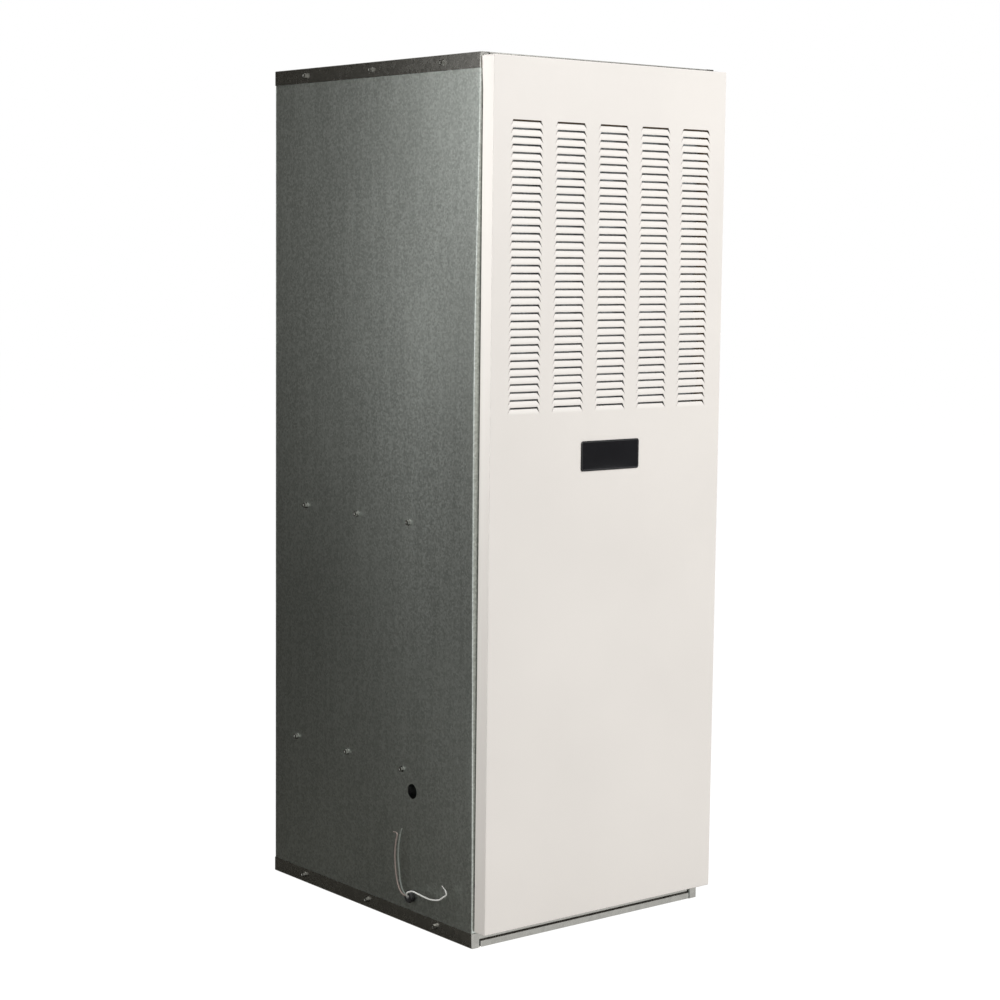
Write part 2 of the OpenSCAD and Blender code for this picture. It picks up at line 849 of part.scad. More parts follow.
// Half a ring of resistance wire that joins two neighbouring runs
module coil_turn(x, y, z, side) {
    translate([x, y, element_z + z]) rotate([0, 90, 0]) rotate([0, 0, side > 0 ? 0 : 180])
        rotate_extrude(angle = 180) translate([coil_pitch / 2, 0]) circle(d = coil_d);
}

// Four runs of wound resistance wire in one circuit, with its two terminals
module element_coil(x) {
    color("dimgray") placed() {
        for (k = [0 : 3]) {
            outer = k == 0 || k == 3;
            rod_y(x, [coil_start, coil_end], element_z + coil_rows[k], coil_d);
            if (outer) rod_y(x, [heater_y - 14, coil_start + 1], element_z + coil_rows[k], terminal_d);
        }
        coil_turn(x, coil_end, -coil_pitch, 1);
        coil_turn(x, coil_end, coil_pitch, 1);
        coil_turn(x, coil_start, 0, -1);
    }
}

module element_1_coil() element_coil(element_x[0]);
module element_2_coil() element_coil(element_x[1]);
module element_3_coil() element_coil(element_x[2]);

// Bars that carry the runs of wire, and a tube round each terminal in the plate
module element_insulators() {
    plate_y = heater_y - sheet;
    tube_out = 5;
    tube_in = 8;
    color("white") placed() for (x = element_x) {
        for (y = bar_y) difference() {
            block([x - bar_w / 2, x + bar_w / 2], [y, y + bar_t],
                  [element_z - bar_half, element_z + bar_half]);
            for (z = coil_rows) rod_y(x, [y - 1, y + bar_t + 1], element_z + z, coil_d + 2 * screw_clear);
            for (z = [-element_rod_z, element_rod_z])
                rod_y(x, [y - 1, y + bar_t + 1], element_z + z, element_rod_d + 2 * screw_clear);
        }
        for (z = [coil_rows[0], coil_rows[3]]) difference() {
            union() {
                rod_y(x, [plate_y - tube_out, plate_y], element_z + z, coil_d + 2);
                rod_y(x, [plate_y - 1, heater_y + tube_in], element_z + z, coil_d - 2 - 2 * screw_clear);
            }
            rod_y(x, [plate_y - tube_out - 1, heater_y + tube_in + 1], element_z + z,
                  terminal_d + 2 * screw_clear);
        }
    }
}

module limit_discs() {
    seat_y = heater_y - sheet;
    front = seat_y - disc_t;
    cap_t = 3;
    tab_x = 5;
    color("black") placed() for (x = element_x) {
        rod_y(x, [front, seat_y], element_z, disc_d);
        rod_y(x, [front - cap_t, seat_y], element_z, disc_d - 8);
        for (side = [-tab_x, tab_x])
            block([x + side - 0.4, x + side + 0.4], [front - 10, front], [element_z - 3, element_z + 3]);
    }
}

// Control tray and its contents

module control_tray() {
    x = [-tray_w / 2, tray_w / 2];
    z = [deck_top, tray_top];
    window_half = 3 * element_pitch / 2 + 5;
    color("silver") placed() difference() {
        block(x, [tray_front, heater_y], z);
        block([x[0] + sheet, x[1] - sheet], [tray_front + sheet, heater_y - sheet],
              [z[0] + sheet, z[1] - sheet]);
        block([x[0] + tray_lip, x[1] - tray_lip], [tray_front - 1, tray_front + sheet + 1],
              [z[0] + tray_lip, z[1] - tray_lip]);
        block([-window_half, window_half], [heater_y - sheet - 1, heater_y + 1],
              [element_z - tray_window_h / 2, element_z + tray_window_h / 2]);
        translate([strip_x, grommet_y, z[0] - 1]) cylinder(h = sheet + 2, d = grommet_hole_d);
        deck_top_screws() shank_hole();
        cover_screws() shank_hole();
    }
}

module control_cover() {
    color("lightgray") placed() difference() {
        block([-tray_w / 2, tray_w / 2], [tray_front - sheet, tray_front], [deck_top, tray_top]);
        block([breaker_x[0] - handle_w / 2 - 4, breaker_x[1] + handle_w / 2 + 4],
              [tray_front - sheet - 1, tray_front + 1], [breaker_z - window_h / 2, breaker_z + window_h / 2]);
        cover_screws() shank_hole();
    }
}

module breaker_bracket() {
    x = [breaker_x[0] - breaker_w / 2 - 5, breaker_x[1] + breaker_w / 2 + 5];
    z = deck_top + sheet;
    color("silver") placed() {
        block(x, [bracket_y, bracket_y + bracket_t], [z, breaker_z + breaker_h / 2 + bracket_over]);
        block(x, [bracket_y - bracket_leg, bracket_y + bracket_t], [z, z + bracket_t]);
    }
}

module breaker_case(x) {
    hub_room = 0.5;
    mouth = 11;
    slot_half = handle_w / 2 + 0.3;
    bore_half = handle_w / 2 + trunnion_len + 0.5;
    color("black") placed() difference() {
        block([x - breaker_w / 2, x + breaker_w / 2], [breaker_y, breaker_y + breaker_d],
              [breaker_z - breaker_h / 2, breaker_z + breaker_h / 2]);
        rod_x([x - slot_half, x + slot_half], handle_y, breaker_z, handle_hub_d + 2 * hub_room);
        block([x - slot_half, x + slot_half], [breaker_y - 1, handle_y],
              [breaker_z - mouth, breaker_z + mouth]);
        rod_x([x - bore_half, x + bore_half], handle_y, breaker_z, trunnion_d + 2 * shaft_clear);
    }
}

module breaker_1_case() breaker_case(breaker_x[0]);
module breaker_2_case() breaker_case(breaker_x[1]);

// A handle in its upper, closed place
module breaker_handle(x) {
    half = handle_w / 2;
    pin = half + trunnion_len;
    color("darkslategray") placed() {
        rod_x([x - half, x + half], handle_y, breaker_z, handle_hub_d);
        rod_x([x - pin, x + pin], handle_y, breaker_z, trunnion_d);
        translate([x, handle_y, breaker_z]) rotate([-handle_tilt, 0, 0])
            block([-half, half], [-handle_reach, -handle_hub_d / 4], [-handle_t / 2, handle_t / 2]);
    }
}

module breaker_1_handle() breaker_handle(breaker_x[0]);
module breaker_2_handle() breaker_handle(breaker_x[1]);

// A heat sequencer on the tray's back wall, to the right of the elements
module sequencer(z) {
    w = 40;
    d = 34;
    h = 46;
    from_right = 32;
    x = tray_w / 2 - w / 2 - from_right;
    y = heater_y - sheet;
    mid_z = z + h / 2;
    color("ivory") placed() {
        block([x - w / 2, x + w / 2], [y - d, y], [z, z + h]);
        rod_y(x, [y - d - 8, y - d], mid_z, 26);
        for (dx = [-14, 14])
            for (dz = [-15, 15])
                block([x + dx - 3, x + dx + 3], [y - d - 9, y - d], [mid_z + dz - 0.4, mid_z + dz + 0.4]);
    }
}

module sequencers() {
    for (above_deck = [26, 92]) sequencer(deck_top + above_deck);
}

module transformer() {
    from_right = 177;
    x = tray_w / 2 - from_right;
    y = tray_front + 60;
    z = deck_top + sheet;
    color("dimgray") placed() {
        block([x - 34, x + 34], [y - 14, y + 14], [z + 2, z + 58]);
        block([x - 22, x + 22], [y - 27, y + 27], [z + 10, z + 50]);
        block([x - 45, x + 45], [y - 14, y + 14], [z, z + 2]);
    }
}

module fan_relay() {
    from_right = 92;
    x = tray_w / 2 - from_right;
    y = tray_front + 60;
    z = deck_top + sheet;
    color("whitesmoke") placed() {
        block([x - 18, x + 18], [y - 20, y + 20], [z + 2, z + 48]);
        block([x - 26, x + 26], [y - 20, y + 20], [z, z + 2]);
        for (dx = [-12, 0, 12]) block([x + dx - 3, x + dx + 3], [y - 0.4, y + 0.4], [z + 48, z + 56]);
    }
}

module terminal_strip() {
    w = 44;
    d = 22;
    h = 14;
    z = deck_top + sheet;
    color("black") placed() {
        block([strip_x - w / 2, strip_x + w / 2], [strip_y, strip_y + d], [z, z + h]);
        for (k = [-1 : 1]) translate([strip_x + h * k, strip_y + d / 2, z + h]) cylinder(h = 2, d = d / 3);
    }
}

module ground_lug() {
    w = 14;
    d = 12;
    h = 22;
    from_left = 36;
    above_deck = 130;
    x = from_left - tray_w / 2;
    y = heater_y - sheet;
    z = deck_top + above_deck;
    color("goldenrod") placed() {
        block([x - w / 2, x + w / 2], [y - d, y], [z, z + h]);
        translate([x, y - d / 2, z + h]) cylinder(h = 5, d = 8, $fn = 6);
    }
}

module control_cable() {
    color("dimgray") placed() swept_tube(cable_points, cable_d, cable_d, 0, 2);
}

module cable_clips() {
    h = 10;
    wall = 2;
    bore_d = cable_d + 2 * seat_gap;
    color("white") placed() for (z = clip_z) translate([cable_x, cable_y, z - h / 2]) difference() {
        union() {
            block([-panel_in - cable_x, -bore_d / 2 - seat_gap], [-8, 8], [0, h]);
            cylinder(h = h, d = bore_d + 2 * wall);
        }
        translate([0, 0, -1]) cylinder(h = h + 2, d = bore_d);
    }
}

module tray_grommet() {
    flange_t = 2;
    bore_d = grommet_hole_d - 2.6;
    color("black") placed() translate([strip_x, grommet_y, deck_top]) difference() {
        union() {
            translate([0, 0, -flange_t]) cylinder(h = flange_t, d = grommet_hole_d + 4);
            cylinder(h = sheet, d = grommet_hole_d - 2 * screw_clear);
        }
        translate([0, 0, -flange_t - 1]) cylinder(h = flange_t + sheet + 2, d = bore_d);
    }
}

// Blower

function scroll_r(a) = scroll_r1 - (scroll_r1 - scroll_r0) * a / scroll_sweep;

function scroll_outline(inset, foot_z) = concat(
    [[outlet_y[1] - inset, foot_z]],
    [for (k = [0 : scroll_steps])
        let (a = scroll_sweep * k / scroll_steps, r = scroll_r(a) - inset)
        [blower_y + r * cos(a), blower_z + r * sin(a)]],
    [[outlet_y[0] + inset, foot_z]]
);

module blower_housing() {
    half = housing_w / 2;
    inlet_d = throat_d + 16;
    color("silver") placed() difference() {
        union() {
            difference() {
                profile_x([-half, half]) polygon(scroll_outline(0, heater_top));
                profile_x([-half + sheet, half - sheet]) polygon(scroll_outline(sheet, heater_top - 5));
            }
            both_sides() block([half - sheet, half + outlet_lip], outlet_y, [heater_top, heater_top + sheet]);
        }
        rod_x([-half - 1, half + 1], blower_y, blower_z, inlet_d);
        outlet_screws() shank_hole();
    }
}

// A rolled inlet ring on the outside of the right-hand side plate
module inlet_ring() {
    throat_r = throat_d / 2;
    roll = 8;
    x = housing_w / 2;
    translate([0, blower_y, blower_z]) rotate([0, 90, 0]) rotate_extrude() {
        translate([throat_r + roll, x]) square([16, sheet]);
        translate([throat_r, x + sheet - roll]) intersection() {
            translate([roll, 0]) difference() {
                circle(r = roll);
                circle(r = roll - sheet);
            }
            square([roll, roll]);
        }
        translate([throat_r, wheel_w / 2 + 3]) square([sheet, x + sheet - roll - wheel_w / 2 - 3]);
    }
}

module inlet_ring_right() {
    color("silver") placed() inlet_ring();
}

module inlet_ring_left() {
    color("silver") placed() mirror([1, 0, 0]) inlet_ring();
}

// Places its children on the wheel's axis, along local Z
module on_wheel_axis() {
    placed() translate([0, blower_y, blower_z]) rotate([0, 90, 0]) children();
}

// One of the two corners of a blade's inner end, side -1 or 1
function blade_corner(k, side) =
    let (turn = 360 * k / wheel_blades, half = blade_len / 2)
    let (x = wheel_d / 2 - blade_depth / 2 - half * cos(blade_lean) - side * blade_t / 2 * sin(blade_lean))
    let (y = side * blade_t / 2 * cos(blade_lean) - half * sin(blade_lean))
    [x * cos(turn) - y * sin(turn), x * sin(turn) + y * cos(turn)];

// A double-inlet wheel: two end rings, and a hub disc that the blades' inner ends meet
module blower_wheel() {
    r = wheel_d / 2;
    half = wheel_w / 2;
    disc_t = 2;
    hub_len = 24;
    color("lightsteelblue") on_wheel_axis() {
        for (x = [-half, half - wheel_ring_t]) translate([0, 0, x]) difference() {
            cylinder(h = wheel_ring_t, r = r);
            translate([0, 0, -1]) cylinder(h = wheel_ring_t + 2, r = r - blade_depth);
        }
        difference() {
            union() {
                translate([0, 0, hub_x]) linear_extrude(disc_t)
                    polygon([for (k = [0 : wheel_blades - 1]) for (side = [-1, 1]) blade_corner(k, side)]);
                translate([0, 0, hub_x - hub_len]) cylinder(h = hub_len + 1, r = shaft_d / 2 + 8);
            }
            translate([0, 0, -half]) cylinder(h = wheel_w, r = shaft_d / 2 + shaft_clear);
        }
    }
}

// The wheel's leaning blades, from one end ring to the other
module wheel_blades() {
    half = wheel_w / 2 - wheel_ring_t;
    color("lightsteelblue") on_wheel_axis()
        for (k = [0 : wheel_blades - 1])
            rotate(360 * k / wheel_blades) translate([wheel_d / 2 - blade_depth / 2, 0, 0]) rotate(blade_lean)
                translate([-blade_len / 2, -blade_t / 2, -half]) cube([blade_len, blade_t, 2 * half]);
}

module motor_shaft() {
    color("silver") placed() rod_x([hub_x - 30, motor_x + motor_len + 10], blower_y, blower_z, shaft_d);
}

module motor() {
    bell = 12;
    color("dimgray") placed() difference() {
        union() {
            rod_x([motor_x + bell, motor_x + motor_len - bell], blower_y, blower_z, motor_d);
            rod_x([motor_x, motor_x + motor_len], blower_y, blower_z, motor_d - 14);
            rod_x([motor_x - 6, motor_x + motor_len + 4], blower_y, blower_z, shaft_d + 22);
        }
        rod_x([motor_x - 10, motor_x + motor_len + 10], blower_y, blower_z, shaft_d + 2 * shaft_clear);
    }
}

// A band round the motor with three arms to the housing's side plate
module motor_band() {
    band_r = motor_d / 2 + band_gap;
    plate = housing_w / 2;
    color("silver") placed() translate([0, blower_y, blower_z]) rotate([0, 90, 0]) {
        translate([0, 0, band_x]) difference() {
            cylinder(h = band_w, r = band_r + band_t);
            translate([0, 0, -1]) cylinder(h = band_w + 2, r = band_r);
        }
        for (a = arm_angles) rotate(a + 90) {
            translate([band_r + band_t / 2, -8, plate + sheet]) cube([arm_end - band_r - band_t / 2, 16, 3]);
            translate([throat_d / 2 + 28, -8, plate]) cube([arm_end - throat_d / 2 - 28, 16, sheet + 1]);
        }
    }
}

module capacitor() {
    x = -housing_w / 2 - capacitor_d / 2 - seat_gap;
    color("silver") placed() translate([x, capacitor_y, capacitor_z]) {
        cylinder(h = capacitor_h, d = capacitor_d);
        translate([0, 0, capacitor_h]) cylinder(h = 3, d = capacitor_d - 6);
        for (dx = [-8, 8]) translate([dx - 3, -0.4, capacitor_h]) cube([6, 0.8, 12]);
    }
}

// A strap bent round the capacitor, with a foot on the housing at each end
module capacitor_strap() {
    x = -housing_w / 2 - capacitor_d / 2 - seat_gap;
    r = capacitor_d / 2 + seat_gap;
    strap_h = 16;
    foot = 12;
    color("silver") placed() translate([x, capacitor_y, capacitor_z + (capacitor_h - strap_h) / 2]) {
        difference() {
            cylinder(h = strap_h, r = r + sheet);
            translate([0, 0, -1]) cylinder(h = strap_h + 2, r = r);
            translate([0, -2 * r, -1]) cube([2 * r, 4 * r, strap_h + 2]);
        }
        for (y = [r, -r - sheet]) translate([0, y, 0]) cube([r, sheet, strap_h]);
        for (y = [r, -r - foot]) translate([r - sheet, y, 0]) cube([sheet, foot, strap_h]);
    }
}

// Door fastening

// A spring clip behind the side panel's front return, open towards the door
module door_clips() {
    y = return_y + sheet;
    jaw = stud_ball_d / 2 + clip_gap;
    color("silver") placed() for (x = [-corner_x, corner_x])
        for (z = stud_z) {
            difference() {
                block([x - clip_w / 2, x + clip_w / 2], [y, y + clip_t],
                      [z - clip_len / 2, z + clip_len / 2]);
                rod_y(x, [y - 1, y + clip_t + 1], z, stud_ball_d + 1);
            }
            for (side = [-1, 1])
                translate([0, 0, z + side * (jaw + clip_t / 2)])
                    block([x - clip_w / 2, x + clip_w / 2], [y, y + stud_reach], [-clip_t / 2, clip_t / 2]);
        }
}

module door_studs() {
    base_t = 1;
    color("silver") placed() for (x = [-corner_x, corner_x])
        for (z = stud_z) {
            rod_y(x, [-door_gap, -door_gap + base_t], z, 7);
            rod_y(x, [-door_gap, stud_reach - stud_ball_d / 2], z, stud_d);
            translate([x, stud_reach - stud_ball_d / 2, z]) sphere(d = stud_ball_d);
        }
}

// Low-voltage bushing and leads

module side_bushing() {
    color("black") placed() translate([-panel_out, bushing_y, bushing_z]) rotate([0, -90, 0]) difference() {
        union() {
            cylinder(h = bushing_out, d1 = bushing_d, d2 = bushing_d - 3);
            translate([0, 0, -sheet]) cylinder(h = sheet + 1, d = bushing_hole_d - 2 * screw_clear);
            translate([0, 0, -sheet - bushing_in]) cylinder(h = bushing_in, d = bushing_hole_d + 3);
        }
        translate([0, 0, -bushing_in - sheet - 1])
            cylinder(h = bushing_in + sheet + bushing_out + 2, d = cable_d + 2 * screw_clear);
    }
}

// A lead along points that start with their distance from the side panel
module lead(points) {
    route = [for (p = points) [-panel_out - p[0], p[1], p[2]]];
    swept_tube(route, lead_d, bare_d, bare_rings, 2);
}

module lead_grey_brown() {
    color("rosybrown") placed() lead(grey_brown_points);
}

module lead_grey_green() {
    color("darkseagreen") placed() lead(grey_green_points);
}

module lead_white() {
    color("white") placed() lead(white_points);
}

// Door

module louvre_outline() {
    polygon([
        [-louvre_bend_w / 2, 0], [louvre_bend_w / 2, 0],
        [louvre_free_w / 2, louvre_len], [-louvre_free_w / 2, louvre_len]
    ]);
}

// Places its children at every louvre's bend
module louvre_grid() {
    for (c = [0 : louvre_columns - 1])
        for (r = [0 : louvre_rows - 1])
            translate([door_shift + (c - (louvre_columns - 1) / 2) * louvre_pitch_x,
                       louvre_mid_z - 5 + (r - (louvre_rows - 1) / 2) * louvre_pitch_z]) children();
}

module door_panel() {
    z = [door_bottom, door_top];
    rear = -door_gap;
    bend = asin(louvre_push / louvre_len);
    root = 0.6;
    color("seashell") placed() union() {
        translate([0, door_in, 0]) rotate([90, 0, 0]) linear_extrude(sheet) difference() {
            translate([door_x[0], door_bottom]) square([door_w, door_top - door_bottom]);
            louvre_grid() louvre_outline();
        }
        for (x = [door_x[0], door_x[1] - sheet]) block([x, x + sheet], [door_face, rear], z);
        for (z = [door_bottom, door_top - sheet]) block(door_x, [door_face, rear], [z, z + sheet]);
        for (x = [door_x[0], door_x[1] - door_hem])
            block([x, x + door_hem], [rear - sheet, rear], [door_bottom, door_top]);
        translate([0, door_in, 0]) rotate([90, 0, 0]) louvre_grid()
            translate([0, -root, 0]) rotate([-bend, 0, 0]) linear_extrude(sheet * 0.8) louvre_tab();
    }
}

// A louvre's tab, a little narrower than its opening, whose root runs into the face
module louvre_tab() {
    side_gap = 0.15;
    polygon([
        [-louvre_bend_w / 2 + side_gap, 0], [louvre_bend_w / 2 - side_gap, 0],
        [louvre_free_w / 2 - side_gap, louvre_len], [-louvre_free_w / 2 + side_gap, louvre_len]
    ]);
}

module door_badge() {
    color("black") placed() translate([badge_x, door_face, badge_z]) rotate([90, 0, 0]) {
        linear_extrude(badge_rim_t) round_rect(badge_w, badge_h, badge_corner_r);
        linear_extrude(badge_rim_t + badge_field_t)
            round_rect(badge_w - 2 * badge_rim_w, badge_h - 2 * badge_rim_w, badge_corner_r - 1);
    }
}

// Two angles beside the filter, with ears for the bail, and a channel under it
module filter_rails() {
    web_in = filter_w / 2 + filter_slack;
    web_out = web_in + sheet;
    web_rear = filter_y + filter_t;
    floor_z = filter_z - seat_gap;
    color("silver") placed() translate([door_shift, 0, 0]) {
        both_sides() difference() {
            union() {
                block([web_in, web_out + rail_foot], [door_in, door_in + sheet], [floor_z, rail_top]);
                block([web_in, web_out], [door_in, web_rear], [floor_z, rail_top]);
                block([web_in, web_out], [door_in, bail_y + 6], [bail_z - ear_h / 2, bail_z + ear_h / 2]);
            }
            rod_x([web_in - 1, web_out + 1], bail_y, bail_z, bail_d + 2 * bail_clear);
        }
        block([-web_out, web_out], [door_in, door_in + sheet], [floor_z - sheet - rail_foot, floor_z]);
        block([-web_out, web_out], [door_in, web_rear + seat_gap + sheet], [floor_z - sheet, floor_z]);
        block([-web_out, web_out], [web_rear + seat_gap, web_rear + seat_gap + sheet],
              [floor_z - sheet, floor_z + channel_lip_h]);
    }
}

module filter_frame() {
    w = filter_w / 2;
    y = [filter_y, filter_y + filter_t];
    color("burlywood") placed() translate([door_shift, 0, 0]) difference() {
        block([-w, w], y, [filter_z, filter_z + filter_h]);
        block([-w + filter_border, w - filter_border], [y[0] - 1, y[1] + 1],
              [filter_z + filter_border, filter_z + filter_h - filter_border]);
    }
}

// A pleated sheet that zigzags between the filter's faces
module filter_media() {
    half = filter_w / 2 - filter_border;
    low = filter_z + filter_border + seat_gap;
    rise = filter_h - 2 * filter_border - 2 * seat_gap;
    step = rise / (2 * filter_pleats);
    thick = 1.2;
    front = filter_y + 1;
    rear = filter_y + filter_t - 1 - thick;
    near = [for (k = [0 : 2 * filter_pleats]) [k % 2 == 0 ? front : rear, low + k * step]];
    far = [for (k = [2 * filter_pleats : -1 : 0]) [(k % 2 == 0 ? front : rear) + thick, low + k * step]];
    color("aliceblue") placed() translate([door_shift, 0, 0])
        profile_x([-half + seat_gap, half - seat_gap]) polygon(concat(near, far));
}

// A wire bail that hangs from the rails and keeps the filter's top against the door
module filter_bail() {
    pin = filter_w / 2 + filter_slack + sheet + 2;
    foot = bail_z - bail_arm;
    color("silver") placed() translate([door_shift, 0, 0]) {
        both_sides() {
            rod_x([bail_x - bail_d / 2, pin], bail_y, bail_z, bail_d);
            translate([bail_x, bail_y, foot]) cylinder(h = bail_arm, d = bail_d);
            translate([bail_x, bail_y, bail_z]) sphere(d = bail_d);
            translate([bail_x, bail_y, foot]) sphere(d = bail_d);
        }
        rod_x([-bail_x, bail_x], bail_y, foot, bail_d);
    }
}

base_pan();
top_cap();
side_panel_left();
side_panel_right();
back_panel();
sheet_screws();
liner_left();
liner_right();
liner_back();
deck();
coil_rail_left();
coil_rail_right();
plenum_sill();
plenum_panel();
heater_box();
element_1_rack();
element_2_rack();
element_3_rack();
element_1_coil();
element_2_coil();
element_3_coil();
element_insulators();
limit_discs();
control_tray();
control_cover();
breaker_bracket();
breaker_1_case();
breaker_2_case();
sequencers();
transformer();
fan_relay();
terminal_strip();
ground_lug();
control_cable();
cable_clips();
tray_grommet();
blower_housing();
inlet_ring_left();
inlet_ring_right();
motor();
motor_band();
capacitor();
capacitor_strap();
door_clips();
side_bushing();
lead_grey_brown();
lead_grey_green();
lead_white();
blower_wheel();
wheel_blades();
motor_shaft();
breaker_1_handle();
breaker_2_handle();
door_panel();
door_badge();
door_studs();
filter_rails();
filter_frame();
filter_media();
filter_bail();
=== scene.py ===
"""A downflow electric furnace: galvanised casing, painted louvred door and what is inside.

Sizes in the property groups are in metres. Positions are in casing millimetres: x from the middle,
y back from the casing's front plane, z up from the floor. place() turns them into the frame.
"""

import json
import math
from itertools import product
from random import Random

import bmesh
import bpy
from bpy.props import FloatProperty, FloatVectorProperty, IntProperty, PointerProperty
from mathutils import Matrix, Vector

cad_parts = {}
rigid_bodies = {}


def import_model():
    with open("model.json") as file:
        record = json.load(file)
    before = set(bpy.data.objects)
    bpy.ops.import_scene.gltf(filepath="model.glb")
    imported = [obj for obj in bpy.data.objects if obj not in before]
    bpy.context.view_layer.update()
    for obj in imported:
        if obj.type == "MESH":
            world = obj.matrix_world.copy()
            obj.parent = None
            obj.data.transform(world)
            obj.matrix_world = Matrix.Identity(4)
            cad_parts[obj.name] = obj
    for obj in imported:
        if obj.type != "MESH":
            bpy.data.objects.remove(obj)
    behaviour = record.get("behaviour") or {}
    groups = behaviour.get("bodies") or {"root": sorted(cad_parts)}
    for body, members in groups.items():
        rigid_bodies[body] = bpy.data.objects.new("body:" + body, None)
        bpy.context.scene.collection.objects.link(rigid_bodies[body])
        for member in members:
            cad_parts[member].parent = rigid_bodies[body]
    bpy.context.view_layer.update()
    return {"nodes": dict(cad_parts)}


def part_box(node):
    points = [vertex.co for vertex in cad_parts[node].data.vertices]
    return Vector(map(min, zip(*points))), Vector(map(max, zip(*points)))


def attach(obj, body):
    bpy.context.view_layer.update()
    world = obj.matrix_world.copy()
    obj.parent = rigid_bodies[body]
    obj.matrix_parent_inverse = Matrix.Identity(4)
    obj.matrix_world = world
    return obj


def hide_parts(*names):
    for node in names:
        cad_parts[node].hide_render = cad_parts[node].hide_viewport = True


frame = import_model()

bl_info = {
    "name": "Electric furnace",
    "version": (1, 0, 0),
    "blender": (4, 5, 0),
    "location": "View3D > Sidebar > Furnace",
    "description": "Builds a downflow electric furnace with a louvred door around its packed model",
    "category": "Object",
}

MM = 0.001
PAN_LOW, PAN_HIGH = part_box("base_pan")
FRONT = PAN_LOW.y
HALF = PAN_HIGH.x / MM
DEPTH = (PAN_HIGH.y - FRONT) / MM
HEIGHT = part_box("top_cap")[1].z / MM
SHEET = 1.0
NEAR = 0.05


def place(x, y, z):
    """A point in casing millimetres as a point of the frame."""
    return Vector((x * MM, FRONT + y * MM, z * MM))


def node_box(name):
    """A node's lowest and highest corners, in casing millimetres."""
    low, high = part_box(name)
    return [(c.x / MM, (c.y - FRONT) / MM, c.z / MM) for c in (low, high)]


# Sizes and colours


class FurnaceSizes(bpy.types.PropertyGroup):
    """Sizes of the details that the sheet metal has"""

    bend: FloatProperty(name="Sheet bend", description="Outer radius of the casing's folds",
                        default=0.0016, unit="LENGTH")
    door_bend: FloatProperty(name="Door bend", description="Outer radius of the door's folds",
                             default=0.0018, unit="LENGTH")
    bow: FloatProperty(name="Panel bow", description="How far the left panel's front edge bows out",
                       default=0.0065, unit="LENGTH")
    louvre_lean: FloatProperty(name="Louvre lean", description="Angle of a louvre behind the face",
                               default=math.radians(19), subtype="ANGLE")
    wire_turns: IntProperty(name="Wire turns", description="Turns in one run of heating wire",
                            default=52, min=8, max=80)


COLOUR = {"subtype": "COLOR", "size": 3, "min": 0, "max": 1}


class FurnaceColours(bpy.types.PropertyGroup):
    """Colours of the finishes"""

    zinc: FloatVectorProperty(name="Galvanised panels", description="Colour of the casing's sheets",
                              default=(0.47, 0.50, 0.47), **COLOUR)
    # The cap's and the base's zinc is darker than the panels': the darkening is painted shade, standing in
    # for the darker surroundings that they reflect.
    rim_zinc: FloatVectorProperty(name="Galvanised rims", description="Colour of the cap and the base",
                                  default=(0.37, 0.365, 0.34), **COLOUR)
    paint: FloatVectorProperty(name="Door paint", description="Colour of the door's powder coat",
                               default=(0.80, 0.765, 0.725), **COLOUR)
    badge: FloatVectorProperty(name="Badge", description="Colour of the bare plate",
                               default=(0.012, 0.012, 0.014), **COLOUR)


class FurnaceStage(bpy.types.PropertyGroup):
    """Lamps, floor and camera"""

    side_lamp: FloatProperty(name="Side lamp", description="Power of the lamp on the left",
                             default=8.6, unit="POWER")
    paint_lamp: FloatProperty(name="Paint lamp", description="Power of the lamp for matt surfaces alone",
                              default=5.4, unit="POWER")
    front_lamp: FloatProperty(name="Front lamp", description="Power of the lamp in front",
                              default=156, unit="POWER")
    fill: FloatProperty(name="Fill", description="Strength of the light from all round on matt surfaces",
                        default=0.4, min=0, max=1)
    ground: FloatVectorProperty(name="Ground", description="Colour that the floor throws back",
                                default=(0.42, 0.405, 0.385), **COLOUR)
    cloth: FloatVectorProperty(name="Cloth", description="Colour of the dark screens",
                               default=(0.06, 0.055, 0.045), **COLOUR)


# Mesh work, as by hand


def let_go():
    """Leaves edit mode and deselects everything."""
    if bpy.context.object and bpy.context.object.mode != "OBJECT":
        bpy.ops.object.mode_set(mode="OBJECT")
    bpy.ops.object.select_all(action="DESELECT")


def take(*objects):
    """Selects these objects alone, the first one active."""
    let_go()
    for obj in objects:
        obj.select_set(True)
    bpy.context.view_layer.objects.active = objects[0]


def settle(obj):
    """Puts an object's place into its mesh."""
    take(obj)
    bpy.ops.object.transform_apply(location=True, rotation=True, scale=True)
    return obj


def add_block(name, low, high):
    """A cube between two corners in casing millimetres."""
    let_go()
    a, b = place(*low), place(*high)
    bpy.ops.mesh.primitive_cube_add(size=1, location=(a + b) / 2, scale=b - a)
    obj = bpy.context.active_object
    obj.name = name
    return settle(obj)


def add_sheet(name, corner, across, up):
    """A plane from one corner, given with its two side vectors, in millimetres."""
    let_go()
    across, up = Vector(across) * MM, Vector(up) * MM
    bpy.ops.mesh.primitive_plane_add(size=1)
    obj = bpy.context.active_object
    obj.name = name
    middle = place(*corner) + across / 2 + up / 2
    normal = across.normalized().cross(up.normalized())
    turn = Matrix((across, up, normal)).transposed().to_4x4()
    obj.matrix_world = Matrix.Translation(middle) @ turn
    return settle(obj)


def add_rod(name, start, end, radius, sides=24):
    """A cylinder between two points in casing millimetres."""
    let_go()
    a, b = place(*start), place(*end)
    along = b - a
    turn = along.to_track_quat("Z", "Y")
    bpy.ops.mesh.primitive_cylinder_add(vertices=sides, radius=radius * MM, depth=along.length)
    obj = bpy.context.active_object
    obj.name = name
    obj.matrix_world = Matrix.Translation((a + b) / 2) @ turn.to_matrix().to_4x4()
    return settle(obj)


def link(obj):
    """Puts a new object into the scene."""
    bpy.context.scene.collection.objects.link(obj)
    return obj


